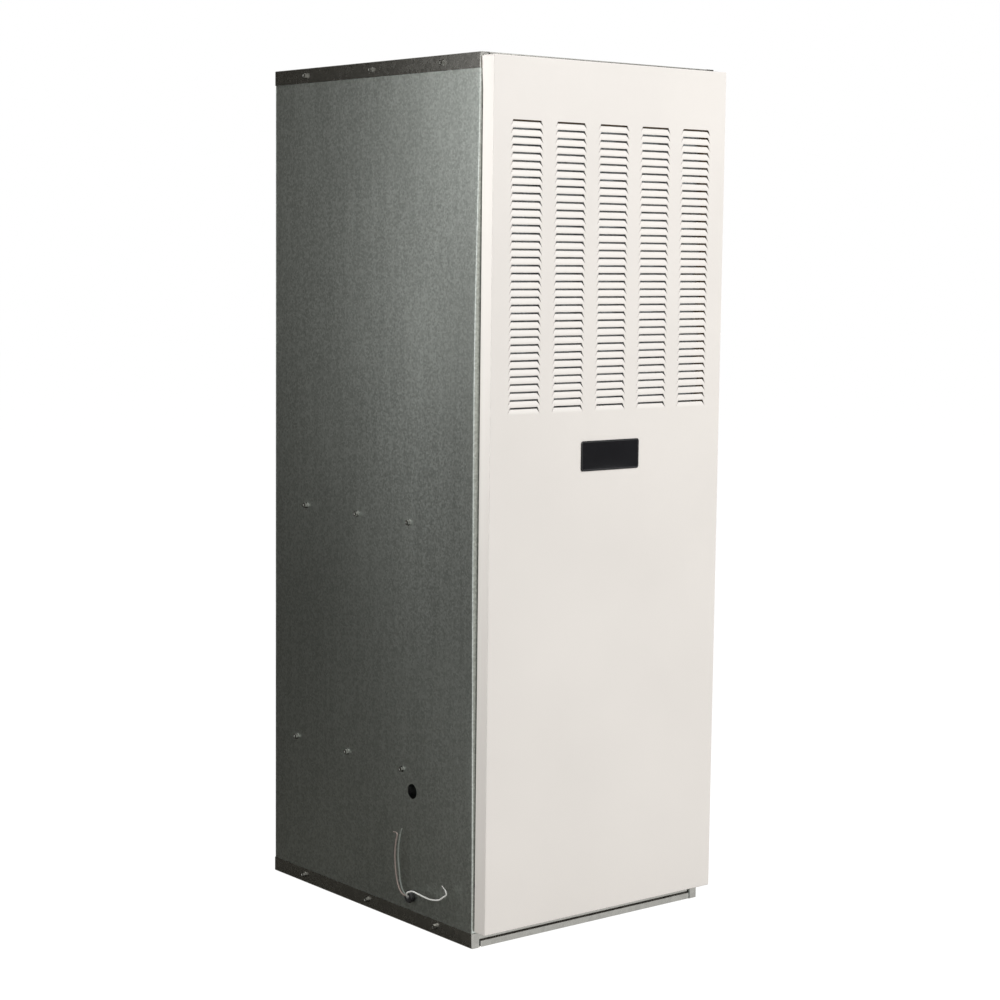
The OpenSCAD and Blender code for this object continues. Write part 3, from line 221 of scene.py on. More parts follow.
def add_curve(name, points, width, resolution):
    """A round wire through points of the frame, its width in millimetres."""
    data = bpy.data.curves.new(name, "CURVE")
    data.dimensions = "3D"
    data.bevel_depth = width / 2 * MM
    data.bevel_resolution = resolution
    data.use_fill_caps = True
    spline = data.splines.new("POLY")
    spline.points.add(len(points) - 1)
    for point, at in zip(spline.points, points):
        point.co = (*at, 1)
    return link(bpy.data.objects.new(name, data))


def edit(obj, mode="VERT"):
    """Opens an object in edit mode with nothing selected."""
    take(obj)
    bpy.ops.object.mode_set(mode="EDIT")
    bpy.ops.mesh.select_mode(type=mode)
    bpy.ops.mesh.select_all(action="DESELECT")


def done():
    bpy.ops.object.mode_set(mode="OBJECT")


def casing(point):
    """A point of the frame in casing millimetres."""
    return point.x / MM, (point.y - FRONT) / MM, point.z / MM


def pick(kind, test):
    """Selects the faces or edges that pass a test, and nothing else, in edit mode."""
    mesh = bmesh.from_edit_mesh(bpy.context.object.data)
    bpy.ops.mesh.select_all(action="DESELECT")
    for item in getattr(mesh, kind):
        if test(item):
            item.select_set(True)
    bmesh.update_edit_mesh(bpy.context.object.data)


def pick_faces(test):
    """Selects the faces whose middle and normal pass a test."""
    pick("faces", lambda face: test(casing(face.calc_center_median()), face.normal))


def pick_edges(test):
    """Selects the edges whose two ends pass a test."""
    pick("edges", lambda edge: test(*(casing(end.co) for end in edge.verts)))


def facing(axis, way):
    """A test for faces that look along an axis, one way or the other."""
    return lambda at, normal: normal[axis] * way > 0.9


def on_plane(axis, *values):
    """A test for edges that lie in one of the planes x, y or z = value."""
    return lambda a, b: any(abs(a[axis] - v) < NEAR and abs(b[axis] - v) < NEAR for v in values)


def within(axis, low, high):
    """A test for edges that lie between two planes."""
    return lambda a, b: all(low - NEAR < end[axis] < high + NEAR for end in (a, b))


def both(*tests):
    """A test that passes where all of these pass."""
    return lambda a, b: all(test(a, b) for test in tests)


def either(*tests):
    """A test that passes where one of these passes."""
    return lambda a, b: any(test(a, b) for test in tests)


def fold(*moves):
    """Extrudes the selected edges by one vector after the other, in millimetres."""
    for move in moves:
        bpy.ops.mesh.extrude_edges_move(TRANSFORM_OT_translate={"value": Vector(move) * MM})


def inset(*steps):
    """Insets the selected faces step by step, each by a width and a height in millimetres."""
    for width, height in steps:
        bpy.ops.mesh.inset(thickness=width * MM, depth=height * MM)


def slice_at(at, normal, **settings):
    """Cuts the selected faces at a plane through a point in casing millimetres."""
    bpy.ops.mesh.bisect(plane_co=place(*at), plane_no=Vector(normal).normalized(), **settings)


def cut(axis, value):
    """Cuts the whole mesh at a plane x, y or z = value."""
    bpy.ops.mesh.select_all(action="SELECT")
    normal = [int(k == axis) for k in range(3)]
    slice_at([value * share for share in normal], normal)


def round_folds(radius, segments=3):
    """Bevels the selected folds, by a radius in metres."""
    bpy.ops.mesh.bevel(offset=radius, segments=segments, affect="EDGES", clamp_overlap=True)


def finish_with(obj, kind, **settings):
    """Adds a modifier, sets it and applies it."""
    take(obj)
    modifier = obj.modifiers.new(kind.title(), kind)
    for key, value in settings.items():
        setattr(modifier, key, value)
    bpy.ops.object.modifier_apply(modifier=modifier.name)


def thicken(obj, thickness=SHEET):
    """Gives a sheet its thickness, away from the side that its normals show."""
    finish_with(obj, "SOLIDIFY", thickness=thickness * MM, offset=-1, use_even_offset=True)


def soften(obj, width, angle=30, segments=2):
    """Rounds the edges that are sharper than an angle, by a width in millimetres."""
    finish_with(obj, "BEVEL", width=width * MM, segments=segments, limit_method="ANGLE",
                angle_limit=math.radians(angle))


def repeat(obj, count, step, weld):
    """Repeats a mesh by a step and welds each copy to the next, in millimetres."""
    finish_with(obj, "ARRAY", count=count, use_relative_offset=False, use_constant_offset=True,
                constant_offset_displace=Vector(step) * MM, use_merge_vertices=True,
                merge_threshold=weld * MM)


def join(name, *objects):
    """Joins pieces into the first and names it."""
    take(*objects)
    if len(objects) > 1:
        bpy.ops.object.join()
    obj = bpy.context.active_object
    obj.name = name
    obj.data.name = name
    return obj


def copy_of(obj):
    """A copy with a mesh of its own."""
    copy = obj.copy()
    copy.data = obj.data.copy()
    return link(copy)


def swell(obj, direction, reach, share):
    """Moves the vertices along an axis by reach millimetres, each by its share between 0 and 1."""
    group = obj.vertex_groups.new(name="share")
    for vertex in obj.data.vertices:
        group.add([vertex.index], max(0.0, share(*casing(vertex.co))), "REPLACE")
    finish_with(obj, "DISPLACE", direction=direction, strength=reach * MM, mid_level=0,
                vertex_group="share")
    obj.vertex_groups.clear()


def smooth(obj, angle=35):
    """Smooths the folds, and keeps the flats beside them flat."""
    take(obj)
    bpy.ops.object.shade_smooth_by_angle(angle=math.radians(angle))
    finish_with(obj, "WEIGHTED_NORMAL", mode="FACE_AREA", weight=100, keep_sharp=True)


def dress(obj, slot, body, *nodes):
    """Gives a finished piece its material, its body and the nodes that it stands for."""
    obj.data.materials.clear()
    obj.data.materials.append(finish_of(slot))
    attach(obj, body)
    if nodes:
        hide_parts(*nodes)


# Finishes


def feed(socket, value):
    """Links a socket to another node's output, or sets it to a plain value."""
    if isinstance(value, bpy.types.NodeSocket):
        socket.id_data.links.new(value, socket)
    else:
        socket.default_value = value


def add_node(tree, kind, sockets, **settings):
    """A new node of a material or a world, with what its sockets take."""
    node = tree.nodes.new("ShaderNode" + kind)
    for key, value in settings.items():
        setattr(node, key, value)
    for key, value in sockets.items():
        feed(node.inputs[key], value)
    return node


class Finish:
    """One material, built up from its patterns on Object coordinates."""

    def __init__(self, name, colour, roughness, metallic=0.0):
        self.material = bpy.data.materials.new(name)
        self.material.use_nodes = True
        self.material.diffuse_color = (*colour, 1)
        self.tree = self.material.node_tree
        self.shader = self.tree.nodes["Principled BSDF"].inputs
        self.shader["Base Color"].default_value = (*colour, 1)
        self.shader["Roughness"].default_value = roughness
        self.shader["Metallic"].default_value = metallic
        self.where = self.add("TexCoord", {}).outputs["Object"]

    def add(self, kind, sockets, **settings):
        return add_node(self.tree, kind, sockets, **settings)

    def mapped(self, stretch):
        """The coordinates, scaled apart along x, y and z."""
        return self.add("Mapping", {"Scale": stretch, "Vector": self.where}).outputs["Vector"]

    def noise(self, scale, detail, stretch=None, distortion=0.0):
        where = self.mapped(stretch) if stretch else self.where
        sockets = {"Scale": scale, "Detail": detail, "Distortion": distortion, "Vector": where}
        return self.add("TexNoise", sockets).outputs["Fac"]

    def cells(self, scale):
        """One grey value in each cell of a crystal pattern."""
        cells = self.add("TexVoronoi", {"Scale": scale, "Vector": self.where})
        return self.add("SeparateColor", {"Color": cells.outputs["Color"]}).outputs["Red"]

    def math(self, operation, a, b):
        return self.add("Math", {0: a, 1: b}, operation=operation).outputs["Value"]

    def blend(self, *parts):
        """A weighted sum of patterns, given as pairs of pattern and weight."""
        total = None
        for pattern, weight in parts:
            term = self.math("MULTIPLY", pattern, weight)
            total = term if total is None else self.math("ADD", total, term)
        return total

    def shade(self, value, dark, light, start=0.3, end=0.7):
        """Colours the surface between two colours by a pattern."""
        ramp = self.add("ValToRGB", {"Fac": value})
        for stop, at, colour in zip(ramp.color_ramp.elements, (start, end), (dark, light)):
            stop.position = at
            stop.color = (*colour, 1)
        feed(self.shader["Base Color"], ramp.outputs["Color"])

    def rough(self, value, low, high, start=0.3, end=0.7):
        """Takes the roughness from low to high where a pattern goes from start to end."""
        spread = self.add("MapRange", {"Value": value, "From Min": start, "From Max": end,
                                       "To Min": low, "To Max": high})
        feed(self.shader["Roughness"], spread.outputs["Result"])

    def bump(self, value, distance, strength):
        """Raises the surface by a pattern, in metres."""
        bump = self.add("Bump", {"Strength": strength, "Distance": distance, "Height": value})
        feed(self.shader["Normal"], bump.outputs["Normal"])


def lighter(colour, share):
    return tuple(min(1.0, c * share) for c in colour)


def galvanised(name, colour, roughness, spangle, contrast):
    """Zinc-coated sheet: small crystals, rolling streaks up the sheet and faint clouds."""
    finish = Finish(name, colour, roughness, metallic=1.0)
    crystals = finish.cells(spangle)
    specks = finish.noise(700, 3)
    streaks = finish.noise(90, 4, stretch=(1, 1, 0.06))
    clouds = finish.noise(3.2, 3, stretch=(1, 1, 0.6))
    pattern = finish.blend((crystals, 0.28), (specks, 0.3), (streaks, 0.2), (clouds, 0.22))
    finish.shade(pattern, lighter(colour, 1 - contrast), lighter(colour, 1 + contrast), 0.32, 0.68)
    finish.rough(pattern, roughness - 0.015, roughness + 0.02, 0.32, 0.68)
    grain = finish.blend((crystals, 0.35), (specks, 0.4), (streaks, 0.25))
    finish.bump(grain, 0.00006, 0.35)
    return finish.material


def painted(name, colour, roughness=0.42):
    """Powder coat: an even colour with a fine orange peel."""
    finish = Finish(name, colour, roughness)
    finish.shade(finish.noise(4.0, 2), lighter(colour, 0.98), lighter(colour, 1.02))
    skin = finish.noise(260, 2)
    finish.rough(finish.noise(60, 3), roughness - 0.03, roughness + 0.04)
    finish.bump(skin, 0.00012, 0.35)
    return finish.material


def moulded(name, colour, roughness, grain=900):
    """Moulded plastic or rubber with a fine etched skin."""
    finish = Finish(name, colour, roughness)
    finish.shade(finish.noise(25, 3), lighter(colour, 0.92), lighter(colour, 1.08))
    skin = finish.noise(grain, 2)
    finish.rough(skin, roughness - 0.05, roughness + 0.08)
    finish.bump(skin, 0.00008, 0.4)
    return finish.material


def plated(name, colour, roughness):
    """Plated or bright steel with faint wear."""
    finish = Finish(name, colour, roughness, metallic=1.0)
    wear = finish.blend((finish.noise(40, 4), 0.6), (finish.noise(500, 2), 0.4))
    finish.shade(wear, lighter(colour, 0.86), lighter(colour, 1.1))
    finish.rough(wear, roughness - 0.06, roughness + 0.14)
    finish.bump(wear, 0.00004, 0.4)
    return finish.material


def foil(name):
    """Foil facing over glass wool: bright and creased."""
    finish = Finish(name, (0.78, 0.79, 0.80), 0.3, metallic=1.0)
    creases = finish.noise(38, 5, distortion=1.2)
    finish.shade(creases, (0.62, 0.63, 0.64), (0.86, 0.87, 0.88))
    finish.rough(creases, 0.2, 0.42)
    finish.bump(creases, 0.0012, 0.7)
    return finish.material


def board(name):
    """Brown cardboard with fine fibres."""
    finish = Finish(name, (0.33, 0.23, 0.14), 0.85)
    fibres = finish.noise(320, 5, stretch=(1, 1, 0.25))
    finish.shade(fibres, (0.27, 0.19, 0.115), (0.38, 0.27, 0.165))
    finish.bump(fibres, 0.0002, 0.5)
    return finish.material


def fleece(name):
    """Filter fleece: matted pale fibres."""
    finish = Finish(name, (0.70, 0.74, 0.76), 0.95)
    fibres = finish.blend((finish.noise(1100, 5), 0.6), (finish.noise(140, 4), 0.4))
    finish.shade(fibres, (0.56, 0.60, 0.62), (0.82, 0.85, 0.86))
    finish.bump(fibres, 0.0005, 0.8)
    return finish.material


MADE = {}


def finish_of(slot):
    """The material of a slot of the record, made once. A colour may be named by its property."""
    if slot not in MADE:
        make, *settings = FINISHES[slot]
        if settings and isinstance(settings[0], str):
            settings[0] = getattr(bpy.context.scene.furnace_colours, settings[0])[:]
        MADE[slot] = make(slot, *settings)
    return MADE[slot]


def sizes():
    return bpy.context.scene.furnace_sizes


FINISHES = {
    "galvanised_panels": (galvanised, "zinc", 0.40, 300, 0.21),
    # The rims' darker zinc colour is painted shade for the darker surroundings that the cap and the base
    # reflect.
    "galvanised_rims": (galvanised, "rim_zinc", 0.26, 120, 0.08),
    # The screws' zinc is dark as painted shade: it stands in for the dark room that they mirror.
    "zinc_screws": (plated, (0.34, 0.34, 0.32), 0.16),
    "foil_insulation": (foil,),
    "inner_steel": (galvanised, (0.60, 0.61, 0.60), 0.32, 90, 0.18),
    "resistance_wire": (plated, (0.30, 0.27, 0.25), 0.42),
    "white_ceramic": (moulded, (0.82, 0.80, 0.74), 0.6, 1500),
    "black_plastic": (moulded, (0.018, 0.018, 0.019), 0.42),
    "handle_plastic": (moulded, (0.05, 0.05, 0.055), 0.35),
    "ivory_plastic": (moulded, (0.72, 0.68, 0.56), 0.42),
    "dark_steel": (painted, (0.045, 0.047, 0.05), 0.38),
    "brass_lug": (plated, (0.72, 0.53, 0.22), 0.3),
    "cable_jacket": (moulded, (0.10, 0.10, 0.105), 0.5),
    "capacitor_can": (plated, (0.72, 0.73, 0.74), 0.3),
    "spring_steel": (plated, (0.50, 0.50, 0.51), 0.25),
    "lead_grey_brown": (moulded, (0.36, 0.29, 0.26), 0.4),
    "lead_grey_green": (moulded, (0.27, 0.30, 0.27), 0.4),
    "lead_white": (moulded, (0.80, 0.80, 0.77), 0.4),
    "door_paint": (painted, "paint"),
    "badge_black": (moulded, "badge", 0.16, 1800),
    "filter_board": (board,),
    "filter_fleece": (fleece,),
}


# Stage

# Each screen's corner and two sides, and each lamp's place, the point it faces and its size in metres
SCREENS = {
    "standing_screen": ((-1457, 706, 0), (1102, 4407, 0), (0, 0, 3650)),
    "lying_screen": ((-1295, 0, 1), (1041, 0, 0), (0, 4740, 0)),
    "front_screen": ((960, -2710, 100), (1740, 1340, 0), (0, 0, 2500)),
}
LAMPS = {
    "side_lamp": ((-1400, 360, 1340), (-250, 0, 1000), 1.2),
    "paint_lamp": ((-1100, 240, 1460), (-250, 100, 1000), 0.7),
    "front_lamp": ((1500, -3717, 3000), (0, 283, 900), 1.2),
}
FLOOR_SIZE = 40
FLOOR_DROP = 0.0004
FLOOR_GLOW = 0.92
SHADOW_GREY = 0.2
LENS = 80.86
CAMERA_AT = (-2.4679, -3.1035, 1.1429)
CAMERA_FORWARD = (0.62194, 0.77520, -0.11070)
CAMERA_RIGHT = (0.78074, -0.62475, 0.01145)


class FURNACE_OT_stage(bpy.types.Operator):
    """Floor, white surroundings, lamps and the camera at the photograph's angle"""

    bl_idname = "furnace.stage"
    bl_label = "Stage"

    def execute(self, context):
        stage = context.scene.furnace_stage
        self.add_world(stage.fill)
        self.add_floor(stage.ground[:])
        for name, (corner, across, up) in SCREENS.items():
            self.add_screen(name, stage.cloth[:], corner, across, up)
        for name, (at, towards, size) in LAMPS.items():
            self.add_lamp(name, at, towards, size, getattr(stage, name))
        self.add_camera()
        context.scene.view_settings.view_transform = "Standard"
        return {"FINISHED"}

    def backdrop_ray(self, tree):
        """1 where a ray comes straight from the camera or by way of metal or glass."""
        path = add_node(tree, "LightPath", {}).outputs
        last = path["Is Camera Ray"]
        for name in ("Is Glossy Ray", "Is Transmission Ray"):
            last = add_node(tree, "Math", {0: last, 1: path[name]}, operation="MAXIMUM").outputs[0]
        return last

    def show_backdrop(self, tree, plain, white, output):
        """White where the backdrop shows, and the plain surface elsewhere."""
        mix = add_node(tree, "MixShader", {0: self.backdrop_ray(tree), 1: plain, 2: white})
        feed(tree.nodes[output].inputs["Surface"], mix.outputs[0])

    def add_world(self, fill):
        """White to the camera and in reflections, and softer on matt surfaces."""
        world = bpy.data.worlds.new("surroundings")
        world.use_nodes = True
        bpy.context.scene.world = world
        tree = world.node_tree
        soft = tree.nodes["Background"]
        feed(soft.inputs["Color"], (1, 1, 1, 1))
        feed(soft.inputs["Strength"], fill)
        white = add_node(tree, "Background", {"Color": (1, 1, 1, 1), "Strength": 1})
        self.show_backdrop(tree, soft.outputs[0], white.outputs[0], "World Output")

    def matt(self, obj, colour):
        """Gives a piece of the stage a plain matt material, and returns its tree and its surface."""
        material = bpy.data.materials.new(obj.name)
        material.use_nodes = True
        surface = material.node_tree.nodes["Principled BSDF"]
        feed(surface.inputs["Base Color"], (*colour, 1))
        feed(surface.inputs["Roughness"], 0.9)
        obj.data.materials.append(material)
        return material.node_tree, surface.outputs[0]

    def add_floor(self, ground):
        """A pale floor, white to the camera and in reflections, with the object's faint shadow."""
        let_go()
        bpy.ops.mesh.primitive_plane_add(size=FLOOR_SIZE, location=(0, 0, -FLOOR_DROP))
        floor = bpy.context.active_object
        floor.name = "floor"
        settle(floor)
        tree, surface = self.matt(floor, ground)
        shadow = add_node(tree, "BsdfDiffuse", {"Color": (SHADOW_GREY, SHADOW_GREY, SHADOW_GREY, 1)})
        glow = add_node(tree, "Emission", {"Strength": FLOOR_GLOW})
        white = add_node(tree, "AddShader", {0: shadow.outputs[0], 1: glow.outputs[0]})
        self.show_backdrop(tree, surface, white.outputs[0], "Material Output")

    def add_screen(self, name, cloth, corner, across, up):
        """A dark screen that only shows in the metal, as in a studio."""
        screen = add_sheet(name, corner, across, up)
        screen.visible_camera = screen.visible_diffuse = screen.visible_shadow = False
        self.matt(screen, cloth)

    def add_lamp(self, name, at, towards, size, power):
        """A square lamp. The metal doesn't show the paint's lamp."""
        data = bpy.data.lights.new(name, "AREA")
        data.size = size
        data.energy = power
        lamp = link(bpy.data.objects.new(name, data))
        lamp.visible_glossy = name != "paint_lamp"
        lamp.location = place(*at)
        lamp.rotation_euler = (place(*towards) - lamp.location).to_track_quat("-Z", "Y").to_euler()

    def add_camera(self):
        data = bpy.data.cameras.new("camera")
        data.sensor_width = 36
        data.lens = LENS
        data.clip_end = 100
        camera = link(bpy.data.objects.new("camera", data))
        forward = Vector(CAMERA_FORWARD).normalized()
        up = Vector(CAMERA_RIGHT).cross(forward).normalized()
        turn = Matrix((forward.cross(up), up, -forward)).transposed().to_4x4()
        camera.matrix_world = Matrix.Translation(CAMERA_AT) @ turn
        bpy.context.scene.camera = camera


# Control leads: how far out of the panel each point lies, then its y and z

LEAD_ROUTES = {
    "lead_grey_brown": [
        (8, 170.5, 51.5), (10.5, 171.5, 52.5), (13.5, 178, 56), (14.5, 185.5, 66), (14.5, 191, 80),
        (14.5, 194.5, 96), (14.5, 196.3, 115), (14.5, 195.5, 130), (14.5, 193, 145), (14.5, 190, 154),
        (14.5, 193, 157.5), (14.5, 201.5, 157)],
    "lead_grey_green": [
        (8, 168.5, 52.6), (10.5, 169.5, 54), (13.5, 174.5, 61), (14.5, 180.5, 76), (14.5, 183.5, 94),
        (14.5, 186.5, 110), (14.5, 187, 122), (14.5, 186.4, 133), (14.5, 184.5, 145), (14.5, 182.2, 154.5),
        (14.5, 180.5, 160), (14.5, 177.8, 167)],
    "lead_white": [
        (8, 166.4, 50.6), (10.5, 166.2, 51.4), (14.5, 162, 59), (14.5, 154, 63.5), (14.5, 144, 66),
        (14.5, 130, 65), (14.5, 115, 64), (14.5, 98, 63.5), (14.5, 81, 66), (14.5, 70, 69.5),
        (14.5, 61, 75.5), (14.5, 52.5, 81.5), (14.5, 54, 88), (14.5, 64, 94.5)],
}
PANEL_OUT = 252.7
LEAD_D = 2.6
BARE_D = 1.4
BARE_LENGTH = 11.0


def eased(points, steps):
    """A smooth line through points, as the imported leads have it."""
    line = []
    for i in range(len(points) - 1):
        a, b = points[max(i - 1, 0)], points[i]
        c, d = points[i + 1], points[min(i + 2, len(points) - 1)]
        for k in range(steps):
            t = k / steps
            line.append(0.5 * (2 * b + (c - a) * t + (2 * a - 5 * b + 4 * c - d) * t * t
                               + (3 * b - a - 3 * c + d) * t * t * t))
    return line + [points[-1]]


class FURNACE_OT_leads(bpy.types.Operator):
    """Three control leads that leave the bushing, each with a bared end"""

    bl_idname = "furnace.leads"
    bl_label = "Control leads"

    def execute(self, context):
        for name, route in LEAD_ROUTES.items():
            points = [place(-PANEL_OUT - out, y, z) for out, y, z in route]
            self.add_lead(name, eased(points, 4))
        return {"FINISHED"}

    def add_lead(self, name, line):
        """One lead: a round jacket, and the bare strands of its last stretch."""
        reach = [0.0]
        for a, b in zip(line, line[1:]):
            reach.append(reach[-1] + (b - a).length)
        lead = add_curve(name + "_wire", line, LEAD_D, 4)
        for point, along in zip(lead.data.splines[0].points, reach):
            point.radius = BARE_D / LEAD_D if along > reach[-1] - BARE_LENGTH * MM else 1.0
        dress(lead, name, "cabinet", name)


# Casing

RIM = 25.4
LIP = 235.0
STUB = 16.0
RETURN = 16.0
CREASE = 11.0
CREASE_IN = 3.5
CREASE_UP = 2.0
CREASE_BEND = 0.6
DUCT = 177.8
DUCT_Y = (222.2, 577.8)
COLLAR = 12.0
CORNER_X = 244.7
STUD_Z = (108.3, 1367.8)
STUD_HOLE_D = 10.0
FIXING_D = 7.0
CABLE_HOLE = (-PANEL_OUT, 168.4, 231.5)
CABLE_HOLE_D = 25.4
BUSHING_Y = 168.5
BUSHING_Z = 50.0
BUSHING_HOLE_D = 19.0
BOW_PEAK = 0.62
BOW_ABOVE = 0.34
BOW_EDGE = 3.0
BOW_REACH = 170.0
BOW_CUTS = (12, 26, 44, 66, 92, 122, 158)
BOW_ROWS = 24
RIGHT_BOW = 0.0012


def cut_holes(obj, cutters):
    """Takes the cutters out of a piece and removes them."""
    for cutter in cutters:
        finish_with(obj, "BOOLEAN", object=cutter, operation="DIFFERENCE", solver="EXACT")
        bpy.data.objects.remove(cutter)


def hole(axis, at, diameter, sides):
    """A cutter along an axis, for a sheet at a point."""
    reach = [4.0 * (k == axis) for k in range(3)]
    return add_rod("cutter", [a - r for a, r in zip(at, reach)], [a + r for a, r in zip(at, reach)],
                   diameter / 2, sides)


def add_side_panel(name, node, side, bow):
    """A side panel: web, two returns with rounded folds, and a front edge that bows out between its ends."""
    low, high = node_box(node)
    out = low[0] if side < 0 else high[0]
    front, rear = low[1], high[1]
    tall = high[2] - low[2]
    panel = add_sheet(name, (out, rear if side < 0 else front, low[2]), (0, (rear - front) * side, 0),
                      (0, 0, tall))
    edit(panel, "EDGE")
    for y in (front, rear):
        pick_edges(on_plane(1, y))
        fold((-side * RETURN, 0, 0))
    pick_edges(both(on_plane(0, out), on_plane(1, front, rear)))
    round_folds(sizes().bend)
    for y in BOW_CUTS:
        cut(1, y)
    for k in range(1, BOW_ROWS):
        cut(2, low[2] + k * tall / BOW_ROWS)
    done()

    def bow_share(x, y, z):
        """Most a little above the middle, and less and less behind the front edge."""
        rise = (z - low[2]) / tall - BOW_PEAK
        far = min(1.0, abs(rise) / (BOW_ABOVE if rise > 0 else BOW_PEAK))
        ease = max(0.0, 1 - max(0.0, y - BOW_EDGE) / BOW_REACH) ** 2
        return (0.5 + 0.5 * math.cos(math.pi * far)) ** 0.75 * ease
    swell(panel, "X", side * bow / MM, bow_share)
    thicken(panel)
    cut_holes(panel, [hole(1, (side * CORNER_X, front, z), STUD_HOLE_D, 32) for z in STUD_Z])
    return panel


class FURNACE_OT_side_panels(bpy.types.Operator):
    """The left and right panels with their returns, cable holes and stud holes"""

    bl_idname = "furnace.side_panels"
    bl_label = "Side panels"

    def execute(self, context):
        left = add_side_panel("left_panel", "side_panel_left", -1, sizes().bow)
        cut_holes(left, [hole(0, CABLE_HOLE, CABLE_HOLE_D, 56),
                         hole(0, (-PANEL_OUT, BUSHING_Y, BUSHING_Z), BUSHING_HOLE_D, 40)])
        right = add_side_panel("right_panel", "side_panel_right", 1, RIGHT_BOW)
        for panel, node in ((left, "side_panel_left"), (right, "side_panel_right")):
            smooth(panel)
            dress(panel, "galvanised_panels", "cabinet", node)
        return {"FINISHED"}


class FURNACE_OT_back_panel(bpy.types.Operator):
    """The flat back panel with its clipped corners"""

    bl_idname = "furnace.back_panel"
    bl_label = "Back panel"

    def execute(self, context):
        low, high = node_box("back_panel")
        panel = add_sheet("rear_panel", (high[0], high[1], low[2]), (low[0] - high[0], 0, 0),
                          (0, 0, high[2] - low[2]))
        edit(panel, "VERT")
        bpy.ops.mesh.select_all(action="SELECT")
        bpy.ops.mesh.bevel(offset=0.004, segments=1, affect="VERTICES")
        done()
        thicken(panel)
        soften(panel, 0.2)
        smooth(panel)
        dress(panel, "galvanised_panels", "cabinet", "back_panel")
        return {"FINISHED"}


def fold_rim(z, rim, lip_folds):
    """Folds a plate's sides and rear, its stubs and its front lip, and rounds the folds, in edit mode."""
    plate, sides, rear = on_plane(2, z), on_plane(0, -HALF, HALF), on_plane(1, DEPTH)
    lip = both(on_plane(1, 0), within(0, -LIP, LIP))
    pick_edges(either(sides, rear))
    fold((0, 0, rim))
    for side in (-1, 1):
        pick_edges(both(on_plane(0, side * HALF), on_plane(1, 0)))
        fold((-side * STUB, 0, 0))
    pick_edges(both(plate, lip))
    fold(*lip_folds)
    pick_edges(either(both(sides, on_plane(1, 0, DEPTH)), both(plate, either(sides, rear, lip))))
    round_folds(sizes().bend)


class FURNACE_OT_top_cap(bpy.types.Operator):
    """The cap: a plate with a rim all round, open beside its front lip"""

    bl_idname = "furnace.top_cap"
    bl_label = "Top cap"

    def execute(self, context):
        cap = add_sheet("cap", (-HALF, 0, HEIGHT), (2 * HALF, 0, 0), (0, DEPTH, 0))
        edit(cap, "EDGE")
        for x in (-LIP, LIP):
            cut(0, x)
        fold_rim(HEIGHT, -RIM, [(0, 0, -RIM)])
        done()
        thicken(cap)
        smooth(cap)
        dress(cap, "galvanised_rims", "cabinet", "top_cap")
        return {"FINISHED"}


class FURNACE_OT_base_pan(bpy.types.Operator):
    """The base pan: rim, creased front lip, duct opening with its collar, and fixing holes"""

    bl_idname = "furnace.base_pan"
    bl_label = "Base pan"

    def execute(self, context):
        pan = add_sheet("pan", (-HALF, DEPTH, 0), (2 * HALF, 0, 0), (0, -DEPTH, 0))
        edit(pan, "EDGE")
        for x in (-LIP, -DUCT, DUCT, LIP):
            cut(0, x)
        for y in DUCT_Y:
            cut(1, y)
        bpy.ops.mesh.select_mode(type="FACE")
        pick_faces(lambda at, normal: abs(at[0]) < DUCT and DUCT_Y[0] < at[1] < DUCT_Y[1])
        bpy.ops.mesh.delete(type="FACE")
        bpy.ops.mesh.select_mode(type="EDGE")
        pick_edges(both(on_plane(2, 0), within(0, -DUCT, DUCT), within(1, *DUCT_Y)))
        fold((0, 0, COLLAR))
        fold_rim(0, RIM, [(0, 0, CREASE), (0, CREASE_IN, CREASE_UP), (0, 0, RIM - CREASE - CREASE_UP)])
        pick_edges(either(both(on_plane(2, CREASE), on_plane(1, 0)),
                          both(on_plane(2, CREASE + CREASE_UP), on_plane(1, CREASE_IN))))
        round_folds(CREASE_BEND * MM, 2)
        done()
        thicken(pan)
        cut_holes(pan, [hole(2, (x, y, 0), FIXING_D, 24) for x in (-200, 200) for y in (270, 530)])
        smooth(pan)
        dress(pan, "galvanised_rims", "cabinet", "base_pan")
        return {"FINISHED"}


# Screws

HEX = 7.9
WASHER = 10.5
HEAD = 5.0
HEAD_SEAT = 0.8
SHANK = 4.2
CAP_Z = 1440.3
BASE_Z = 14.5
DECK_Z = 688.0
RAIL_Z = 265.0
DECK_TOP = 702.0


def start_disc(sides, width, bottom, top):
    """A cylinder on the frame's z axis, opened in edit mode, in millimetres."""
    let_go()
    bpy.ops.mesh.primitive_cylinder_add(vertices=sides, radius=width / 2 * MM, depth=(top - bottom) * MM,
                                        location=(0, 0, (top + bottom) / 2 * MM))
    disc = settle(bpy.context.active_object)
    edit(disc, "FACE")
    return disc


def add_screw():
    """One hexagon screw at the frame's origin, its washer on z = 0 and its head along +Z."""
    washer = start_disc(28, WASHER, 0, 1.0)
    pick_faces(facing(2, 1))
    inset((0.7, 0.25))
    done()
    head = start_disc(6, HEX / math.cos(math.pi / 6), HEAD_SEAT, HEAD)
    pick_faces(facing(2, 1))
    inset((0.45, 0.3))
    bpy.ops.transform.translate(value=(0, 0, -0.3 * MM))
    inset((1.0, 0), (0.4, -0.9))
    done()
    shank = start_disc(12, SHANK, -8.0, 1.0)
    pick_faces(facing(2, -1))
    bpy.ops.mesh.extrude_region_move(TRANSFORM_OT_translate={"value": (0, 0, -4 * MM)})
    bpy.ops.transform.resize(value=(0.2, 0.2, 1))
    done()
    screw = join("screw", head, washer, shank)
    smooth(screw, 30)
    return screw


